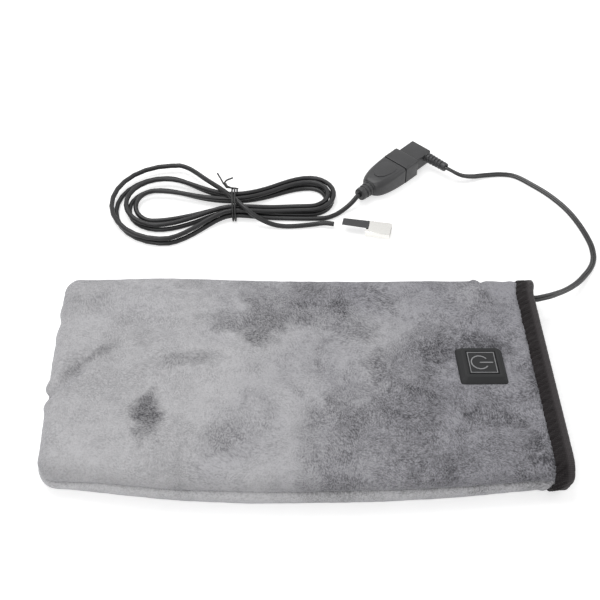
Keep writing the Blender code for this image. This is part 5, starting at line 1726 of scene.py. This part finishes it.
def relief_rings(start: float, way: int, length: float, root: float, tip: float, ribs: int,
                 bore: float, sink: float, groove: float = 0.0008) -> list[Ring]:
    """Sections of a ribbed strain relief.

    Args:
        start: Where it leaves the moulding.
        way: 1 or -1, the way that it runs along X.
        length: Its length.
        root: Its radius at the moulding.
        tip: Its radius at the end.
        ribs: How many grooves it has.
        bore: Radius of the cord's hole.
        sink: How far it reaches back into the moulding, or 0.
        groove: Depth of a groove.

    Returns:
        The sections, from the moulding to the cord's hole.
    """
    def radius_at(along: float) -> float:
        """The relief's radius without grooves."""
        return root + (tip - root) * along / length

    pitch = (length - 0.0022) / ribs
    marks: list[Pair] = [(-sink, root)] if sink else []
    for rib in range(ribs):
        first = rib * pitch + 0.0006
        wide = pitch * 0.36
        for share, drop in ((-0.30, 0.0), (-0.10, 0.25), (0.0, 0.8), (0.25, 1.0), (0.75, 1.0), (1.0, 0.8),
                            (1.10, 0.25), (1.30, 0.0)):
            along = first + share * wide
            marks.append((along, radius_at(along) - groove * drop))
        middle = first + wide + (pitch - wide) * 0.5
        marks.append((middle, radius_at(middle) + 0.00008))
    end = radius_at(length)
    marks += [(length - 0.0006, end), (length - 0.0002, end - 0.0001), (length, end - 0.0005),
              (length, bore + 0.0002), (length - 0.0002, bore), (length - 0.0030, bore)]
    return [Ring(start + way * along, radius, radius, radius) for along, radius in marks]


def combined(whole: Piece, part: BMesh, operation: str) -> Piece:
    """Join a shape to a piece, or cut it out.

    Args:
        whole: The piece.
        part: The shape.
        operation: UNION or DIFFERENCE.

    Returns:
        The piece as it is then.
    """
    tool = placed(finished_mesh(part, "tool"), "tool")
    change = whole.modifiers.new("change", "BOOLEAN")
    change.operation, change.solver, change.object = operation, "EXACT", tool
    whole = baked(whole)
    bpy.data.objects.remove(tool, do_unlink=True)
    return whole


def united(name: str, base: BMesh, part: BMesh, matrix: Matrix) -> Piece:
    """Union two shapes and put them in place.

    Args:
        name: The piece's name.
        base: The main shape.
        part: The shape that is joined to it.
        matrix: Where the whole goes.

    Returns:
        The piece.
    """
    whole = combined(placed(finished_mesh(base, name), name), part, "UNION")
    whole.data.transform(matrix)
    smooth_below(whole.data, 38.0)
    return whole


def standing(place: Pair, height: float, turn_deg: float) -> Matrix:
    """A frame at a place and height, turned about Z."""
    return Matrix.Translation((*place, height)) @ Matrix.Rotation(math.radians(turn_deg), 4, "Z")


@dataclass(frozen=True)
class PlugShape:
    """Sizes of the standard flat four-contact shell and its pocket."""

    width: float = 0.0120
    height: float = 0.0045
    wall: float = 0.0003
    corner: float = 0.0005
    root: float = 0.0030
    gap: float = 0.0003

    def pocket(self, x: float, extra: float = 0.0) -> Ring:
        """The shell's pocket at x."""
        grow = self.gap + extra
        return Ring(x, self.width / 2 + grow, self.height / 2 + grow, self.corner + grow)

    def pocket_rings(self, end: float, inward: int) -> list[Ring]:
        """The pocket from its bottom to its eased rim, in a moulding's flat end."""
        return [self.pocket(end + inward * (self.root + self.gap)), self.pocket(end + inward * 0.0002),
                self.pocket(end, 0.0002)]


@dataclass
class Coupling:
    """The right-angle plug in the extension's socket."""

    shell: PlugShape = PlugShape()
    place: Pair = (0.0777, 0.2170)
    turn_deg: float = 46.0
    socket_width: float = 0.0215
    socket_height: float = 0.0145
    mouth_length: float = 0.0130
    mouth_corner: float = 0.0018
    mouth_rim: float = 0.0008
    pocket_depth: float = 0.0126
    pocket_play: float = 0.0006
    groove: float = 0.0008
    groove_depth: float = 0.0011
    groove_rim: float = 0.0004
    body_corner: float = 0.0022
    body_steps: int = 22
    bore: float = 0.0018
    field_setback: float = 0.0030
    field_length: float = 0.0180
    field_half: float = 0.0074
    field_sunk: float = 0.0012
    field_thickness: float = 0.0015
    field_rounding: float = 0.00022
    body_length: float = 0.0278
    relief_length: float = 0.0105
    relief_root: float = 0.0052
    relief_tip: float = 0.0045
    block_length: float = 0.0160
    block_width: float = 0.0174
    block_height: float = 0.0108
    angle_relief_length: float = 0.0175
    angle_relief_root: float = 0.0037
    angle_relief_tip: float = 0.0031
    angle_relief_rise: float = 0.0015

    @property
    def matrix(self) -> Matrix:
        """The socket mouth's frame, with +X from the socket to the plug."""
        return standing(self.place, self.socket_height / 2, self.turn_deg)

    @property
    def socket_tip(self) -> Vector:
        """End of the socket's strain relief."""
        back = -self.mouth_length - self.body_length - self.relief_length
        return self.matrix @ Vector((back - self.shell.gap, 0.0, 0.0))

    @property
    def lead_tip(self) -> Vector:
        """End of the angle plug's strain relief."""
        return self.matrix @ Vector((
            self.relief_x, -self.block_width / 2 - self.angle_relief_length - self.shell.gap,
            self.angle_relief_rise))

    @property
    def relief_x(self) -> float:
        """Place of the angle plug's relief along the block."""
        return self.shell.gap + self.block_length - 0.0037

    def heading(self, axis: int) -> Vector:
        """One axis of the coupling's frame."""
        return self.matrix.to_3x3().col[axis].copy()

    def body_half(self, share: float, end: float, start: float) -> float:
        """Half-width of the oval body at a share of its length."""
        return end + (start - end) * math.sqrt(max(0.0, 1.0 - share ** 2.6))

    def socket_sections(self) -> list[Ring]:
        """Sections of the socket, from its pocket over the mouth to the cord's hole."""
        half_y, half_z = self.socket_width / 2, self.socket_height / 2
        rings = [self.shell.pocket(-self.pocket_depth, self.pocket_play),
                 self.shell.pocket(-0.0005, self.pocket_play),
                 self.shell.pocket(-0.0001, self.pocket_play + 0.0002)]
        rings += round_over(0.0, -1, half_y, half_z, self.mouth_corner, self.mouth_rim)
        rings += list(reversed(round_over(-self.mouth_length, 1, half_y, half_z, self.mouth_corner,
                                          self.groove_rim)))
        deep_y, deep_z = half_y - self.groove_depth, half_z - self.groove_depth
        front = -self.mouth_length - self.groove
        rings += [Ring(x, deep_y, deep_z, 0.0012) for x in (-self.mouth_length, front)]
        rings += round_over(front, -1, half_y, half_z, self.body_corner, self.groove_rim)
        length, root = self.body_length - self.groove - self.groove_rim, self.relief_root + 0.0001
        for step in range(1, self.body_steps + 1):
            share = math.sin(math.pi / 2 * step / self.body_steps)
            rings.append(Ring(
                front - self.groove_rim - length * share, self.body_half(share, root, half_y),
                self.body_half(share ** 1.6, root, half_z), self.body_corner + 0.0028 * share))
        back = -self.mouth_length - self.body_length
        return rings + relief_rings(back, -1, self.relief_length, self.relief_root, self.relief_tip, 3,
                                    self.bore, 0.0)

    def socket_field(self) -> BMesh:
        """The raised egg-shaped field on the socket's top."""
        bm = bmesh.new()
        bmesh.ops.create_circle(bm, cap_ends=True, segments=72, radius=1.0)
        front = -self.mouth_length - self.field_setback
        for vert in bm.verts:
            along, side = vert.co.x, vert.co.y
            share = 0.5 - 0.5 * math.copysign(abs(along) ** 0.72, along)
            half = self.field_half * (1.0 - 0.42 * share ** 1.5)
            vert.co = (front - self.field_length * share, half * math.copysign(abs(side) ** 0.80, side),
                       self.socket_height / 2 - self.field_sunk)
        top = bmesh.ops.extrude_face_region(bm, geom=bm.faces[:])["geom"]
        lifted = [item for item in top if isinstance(item, bmesh.types.BMVert)]
        bmesh.ops.translate(bm, verts=lifted, vec=(0.0, 0.0, self.field_thickness))
        rim = [edge for edge in bm.edges if all(vert in lifted for vert in edge.verts)]
        bmesh.ops.bevel(bm, geom=rim, offset=self.field_rounding, segments=3, profile=0.5,
                        affect="EDGES", material=NO_MATERIAL, offset_type="OFFSET")
        bmesh.ops.recalc_face_normals(bm, faces=bm.faces)
        return bm

    def angle_sections(self) -> list[Ring]:
        """Sections of the angle plug's block, from its pocket to its closed end."""
        half_y, half_z = self.block_width / 2, self.block_height / 2
        near = self.shell.gap
        far = near + self.block_length
        rings = self.shell.pocket_rings(near, 1) + round_over(near, 1, half_y, half_z, 0.0012, 0.0005)
        return rings + list(reversed(round_over(far, -1, half_y, half_z, 0.0012, 0.0006)))

    def build(self) -> tuple[Piece, Piece]:
        """Build the socket's and the angle plug's mouldings."""
        socket = united("socket_moulding", lofted(self.socket_sections(), 10), self.socket_field(),
                        self.matrix)
        finish_piece(socket, "extension_cable", PLUG_RUBBER, ["socket_body"])
        relief = lofted(relief_rings(0.0, 1, self.angle_relief_length, self.angle_relief_root,
                                     self.angle_relief_tip, 6, 0.0016, 0.0030), 8)
        side = Matrix.Translation((self.relief_x, -self.block_width / 2, self.angle_relief_rise))
        bmesh.ops.transform(relief, matrix=side @ Matrix.Rotation(-math.pi / 2, 4, "Z"), verts=relief.verts)
        angle = united("angle_plug_moulding", lofted(self.angle_sections()), relief, self.matrix)
        finish_piece(angle, "mitt", PLUG_RUBBER, ["angle_plug_body"])
        return socket, angle


@dataclass
class EndPlug:
    """The straight plug at the extension's free end."""

    shell: PlugShape = PlugShape()
    place: Pair = (0.0285, 0.1527)
    turn_deg: float = -11.7
    height: float = 0.0068
    width: float = 0.0142
    length: float = 0.0205
    shell_length: float = 0.0140
    relief_length: float = 0.0070
    relief_root: float = 0.0032
    relief_tip: float = 0.0029
    window: Pair = (0.0024, 0.0024)
    window_x: float = 0.0068
    window_y: float = 0.0029
    ledge_height: float = 0.0060
    barrel_width: float = 0.0100
    barrel_height: float = 0.0088
    barrel_rise: float = 0.0008
    barrel_offset: float = 0.0010
    barrel_floor: float = 0.0027
    barrel_setback: float = 0.0014
    bore: float = 0.0018
    oval: float = 1.22

    @property
    def matrix(self) -> Matrix:
        """The plug's frame, with +X towards its shell."""
        return standing(self.place, self.height / 2, self.turn_deg)

    @property
    def tip(self) -> Vector:
        """End of the plug's strain relief."""
        return self.matrix @ Vector((-self.relief_length - self.shell.gap, 0.0, 0.0))

    @property
    def heading(self) -> Vector:
        """Direction from the cord into the plug."""
        return self.matrix.to_3x3().col[0].copy()

    def barrel(self) -> BMesh:
        """The half-round barrel that stands out of the overmould, a little short of its front."""
        front = self.length - self.barrel_setback
        half_y, half_z = self.barrel_width / 2, self.barrel_height / 2
        rings = round_over(front, -1, half_y, half_z, half_z, 0.0006)
        rings += list(reversed(round_over(-0.0004, 1, half_y - 0.0003, half_z - 0.0002, half_z, 0.0014, 6)))
        bm = lofted(rings, 12)
        lift = self.height / 2 - half_z + self.barrel_rise
        bmesh.ops.translate(bm, verts=bm.verts, vec=(0.0, self.barrel_offset, lift))
        return bm

    def barrel_top(self) -> BMesh:
        """The barrel's upper half, so that it stays clear of the shell's pocket."""
        bm = self.barrel()
        bmesh.ops.bisect_plane(bm, geom=[*bm.verts, *bm.edges, *bm.faces], clear_outer=True,
                               plane_co=(0.0, 0.0, self.barrel_floor), plane_no=(0.0, 0.0, -1.0))
        close_holes(bm)
        return bm

    def sections(self) -> list[Ring]:
        """Sections of the overmould, from its pocket to the cord's hole."""
        half_y, half_z, front = self.width / 2, self.ledge_height / 2, self.length
        rings = self.shell.pocket_rings(front, -1) + round_over(front, -1, half_y, half_z, 0.0024, 0.0005)
        rings += [Ring(front - 0.0040, half_y, half_z, 0.0025),
                  Ring(front - 0.0090, half_y - 0.0001, half_z, 0.0026),
                  Ring(front - 0.0150, half_y - 0.0003, half_z - 0.0001, 0.0027)]
        rings += list(reversed(round_over(0.0, 1, half_y - 0.0005, half_z - 0.0001, 0.0028, 0.0012, 6)))
        rings += [Ring(0.0, self.relief_root, self.relief_root, self.relief_root)]
        relief = relief_rings(0.0, -1, self.relief_length, self.relief_root, self.relief_tip, 2, self.bore,
                              0.0, 0.0010)
        return rings + [replace(ring, half_y=ring.half_y * (self.oval if ring.half_y > 0.0021 else 1.0))
                        for ring in relief]

    def build(self) -> tuple[Piece, Piece]:
        """Build the overmould and the metal shell."""
        body = united("end_plug_moulding", lofted(self.sections(), 10), self.barrel_top(), self.matrix)
        finish_piece(body, "extension_cable", PLUG_RUBBER, ["end_plug_body"])
        front = self.length + self.shell_length
        half_y, half_z, corner = self.shell.width / 2, self.shell.height / 2, self.shell.corner
        wall, lip = self.shell.wall, 0.0001
        inner = Ring(0.0, half_y - wall, half_z - wall, corner - wall + 0.0001)
        rings = round_over(front, -1, half_y, half_z, corner, lip, 2)
        rings += [Ring(self.length - self.shell.root, half_y, half_z, corner),
                  Ring(self.length - self.shell.root, inner.half_y, inner.half_z, inner.corner),
                  Ring(front - lip, inner.half_y, inner.half_z, inner.corner),
                  Ring(front, inner.half_y + lip, inner.half_z + lip, inner.corner)]
        sleeve = placed(finished_mesh(self.closed_sleeve(rings), "end_plug_sleeve"), "end_plug_sleeve")
        cutter = bmesh.new()
        for side in (-1, 1):
            centre = (self.length + self.window_x, side * self.window_y, -self.height / 2)
            stretch = Matrix.Diagonal((*self.window, self.height, 1.0))
            bmesh.ops.create_cube(cutter, size=1.0, matrix=Matrix.Translation(centre) @ stretch)
        sleeve = combined(sleeve, cutter, "DIFFERENCE")
        sleeve.data.transform(self.matrix)
        smooth_below(sleeve.data, 35.0)
        finish_piece(sleeve, "extension_cable", NICKEL, ["end_plug_shell"])
        return body, sleeve

    def closed_sleeve(self, rings: Sequence[Ring]) -> BMesh:
        """Loft sections and join the last to the first, as for a tube with a wall."""
        bm = lofted([*rings, rings[0]], 8)
        bmesh.ops.remove_doubles(bm, verts=bm.verts, dist=MERGE)
        caps = [face for face in bm.faces if len(face.verts) > 8]
        bmesh.ops.delete(bm, geom=caps, context="FACES_ONLY")
        bmesh.ops.recalc_face_normals(bm, faces=bm.faces)
        return bm


# The studio


@dataclass(frozen=True)
class Lamp:
    """One soft lamp."""

    name: str
    place: Triple
    aim: Triple
    size: float
    power: float


@dataclass
class Studio:
    """Camera, lamps, white floor and world."""

    aim: Triple = (-0.001, 0.0829, 0.0)
    elevation_deg: float = 45.0
    azimuth_deg: float = -0.6
    distance: float = 0.877
    lens: float = 80.0
    sensor: float = 36.0
    floor_size: float = 6.0
    glow_from: float = 0.7
    glow_full: float = 2.2
    near_glow: float = 0.59
    ambient: float = 0.40
    lamps: tuple[Lamp, ...] = (
        Lamp("overhead_softbox", (-0.35, 0.45, 1.25), (0.0, 0.06, 0.0), 1.0, 8.6),
        Lamp("front_softbox", (-0.5, -1.1, 0.9), (0.0, 0.05, 0.0), 0.9, 5.6),
        Lamp("right_softbox", (1.2, 0.3, 0.7), (0.05, 0.05, 0.0), 0.8, 2.2),
    )

    def build(self) -> None:
        """Build all of it."""
        self.add_camera()
        for lamp in self.lamps:
            self.add_lamp(lamp)
        self.add_floor()
        self.add_world()
        bpy.context.scene.view_settings.view_transform = "Standard"

    def add_camera(self) -> None:
        """Put the camera at the photograph's angle."""
        azimuth, elevation = math.radians(self.azimuth_deg), math.radians(self.elevation_deg)
        back = Vector((math.sin(azimuth) * math.cos(elevation), -math.cos(azimuth) * math.cos(elevation),
                       math.sin(elevation)))
        data = bpy.data.cameras.new("camera")
        data.lens, data.sensor_width = self.lens, self.sensor
        data.clip_start, data.clip_end = 0.01, 20.0
        bpy.context.scene.camera = self.aimed(data, Vector(self.aim) + back * self.distance, -back)

    def add_lamp(self, lamp: Lamp) -> None:
        """Hang one area lamp."""
        data = bpy.data.lights.new(lamp.name, "AREA")
        data.shape, data.size, data.energy = "DISK", lamp.size, lamp.power
        self.aimed(data, Vector(lamp.place), Vector(lamp.aim) - Vector(lamp.place))

    def aimed(self, data: bpy.types.ID, place: Vector, way: Vector) -> Piece:
        """Place a camera or lamp and point it.

        Args:
            data: The camera's or the lamp's data.
            place: Where it stands.
            way: Where it points.

        Returns:
            The object.
        """
        item = placed(data, data.name)
        item.location = place
        item.rotation_mode = "QUATERNION"
        item.rotation_quaternion = way.to_track_quat("-Z", "Y")
        return item

    def seen_directly(self, bench: NodeBench) -> Socket:
        """1 for camera, mirror and glass rays."""
        path = bench.add("ShaderNodeLightPath")
        seen = bench.math("MAXIMUM", path.outputs["Is Camera Ray"], path.outputs["Is Glossy Ray"])
        return bench.math("MAXIMUM", seen, path.outputs["Is Transmission Ray"])

    def add_floor(self) -> None:
        """Lay the white floor."""
        bm = bmesh.new()
        bmesh.ops.create_grid(bm, x_segments=1, y_segments=1, size=self.floor_size / 2)
        floor = placed(finished_mesh(bm, "studio_floor"), "studio_floor")
        material, bench, shader, place = open_material("studio_white")
        glow = bench.add("ShaderNodeMapRange", {
            "Value": bench.length(place), "From Min": self.glow_from, "From Max": self.glow_full,
            "To Min": self.near_glow}).outputs["Result"]
        bench.fill(shader, {
            "Base Color": (0.72, 0.72, 0.72, 1.0), "Roughness": 0.95, "Specular IOR Level": 0.0,
            "Emission Color": (1.0, 1.0, 1.0, 1.0),
            "Emission Strength": bench.math("MULTIPLY", self.seen_directly(bench), glow)})
        floor.data.materials.append(material)

    def add_world(self) -> None:
        """Light the room evenly, with a white background."""
        world = bpy.data.worlds.new("studio_world")
        bpy.context.scene.world = world
        world.use_nodes = True
        bench = NodeBench(world.node_tree)
        background = world.node_tree.nodes["Background"]
        background.inputs["Color"].default_value = (1.0, 1.0, 1.0, 1.0)
        strength = bench.weighted((self.seen_directly(bench), 1.0 - self.ambient), start=self.ambient)
        bench.feed(background.inputs["Strength"], strength)


# Solids that are kept


CAD_FINISHES: dict[Finish, Sequence[str]] = {
    FLEECE: ("wadding_top", "wadding_bottom"),
    GLASS_CLOTH: ("heater_cloth_top", "heater_cloth_bottom"),
    HEATING_WIRE: ("heating_wire_top", "heating_wire_bottom"),
    CUTOUT_CASE: ("thermal_cutout",),
    TRAY_PLASTIC: ("controller_base", "switch_plunger"),
    BOARD: ("control_board",),
    CHIP: ("controller_chip", "switch_body", "resistor_near", "resistor_far"),
    LED: ("status_led_near", "status_led_far"),
    CORD_SHEATH: ("inner_lead",),
    NICKEL: ("angle_plug_shell", "socket_shell"),
    INSULATOR: ("angle_plug_insulator", "socket_insulator", "end_plug_insulator"),
    BUTTON_RUBBER: ("button_cap",),
    ICON_INK: ("icon_ring", "icon_bar", "icon_frame"),
    GOLD: [f"{plug}_contact_{index}" for plug in ("angle_plug", "socket", "end_plug") for index in CONTACTS],
}


def dress_solids(nodes: dict[str, Piece]) -> None:
    """Give the kept CAD solids their finishes."""
    for finish, names in CAD_FINISHES.items():
        for name in names:
            for slot in nodes[name].material_slots:
                slot.material = finish.material()
            LOG.info("%s: %s", name, finish.name)


def main() -> None:
    """Build every piece in order."""
    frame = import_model()
    nodes = frame["nodes"]
    Studio().build()

    coupling, end_plug = Coupling(), EndPlug()
    socket, angle = coupling.build()
    plug_body, plug_sleeve = end_plug.build()
    tie = TwistTie().build()
    Lead().build(coupling.lead_tip, -coupling.heading(1), [
        angle, nodes["angle_plug_shell"], nodes["angle_plug_insulator"],
        *[nodes[f"angle_plug_contact_{index}"] for index in CONTACTS]])
    ExtensionCord().build(coupling.socket_tip, -coupling.heading(0), end_plug.tip, end_plug.heading, [
        socket, plug_body, plug_sleeve, tie, nodes["socket_shell"], nodes["socket_insulator"],
        nodes["end_plug_insulator"],
        *[nodes[f"{plug}_contact_{index}"] for plug in ("socket", "end_plug") for index in CONTACTS]])

    form = MittForm()
    seat = ButtonSeat.from_frame(frame)
    PlushShell(form, seat).build()
    ButtonCover(seat).build()
    PocketLining(form).build()
    MouthTape(form).build()
    dress_solids(nodes)

    bpy.context.view_layer.update()


if __name__ == "__main__":
    logging.basicConfig(level=logging.INFO, format="%(message)s")
    main()
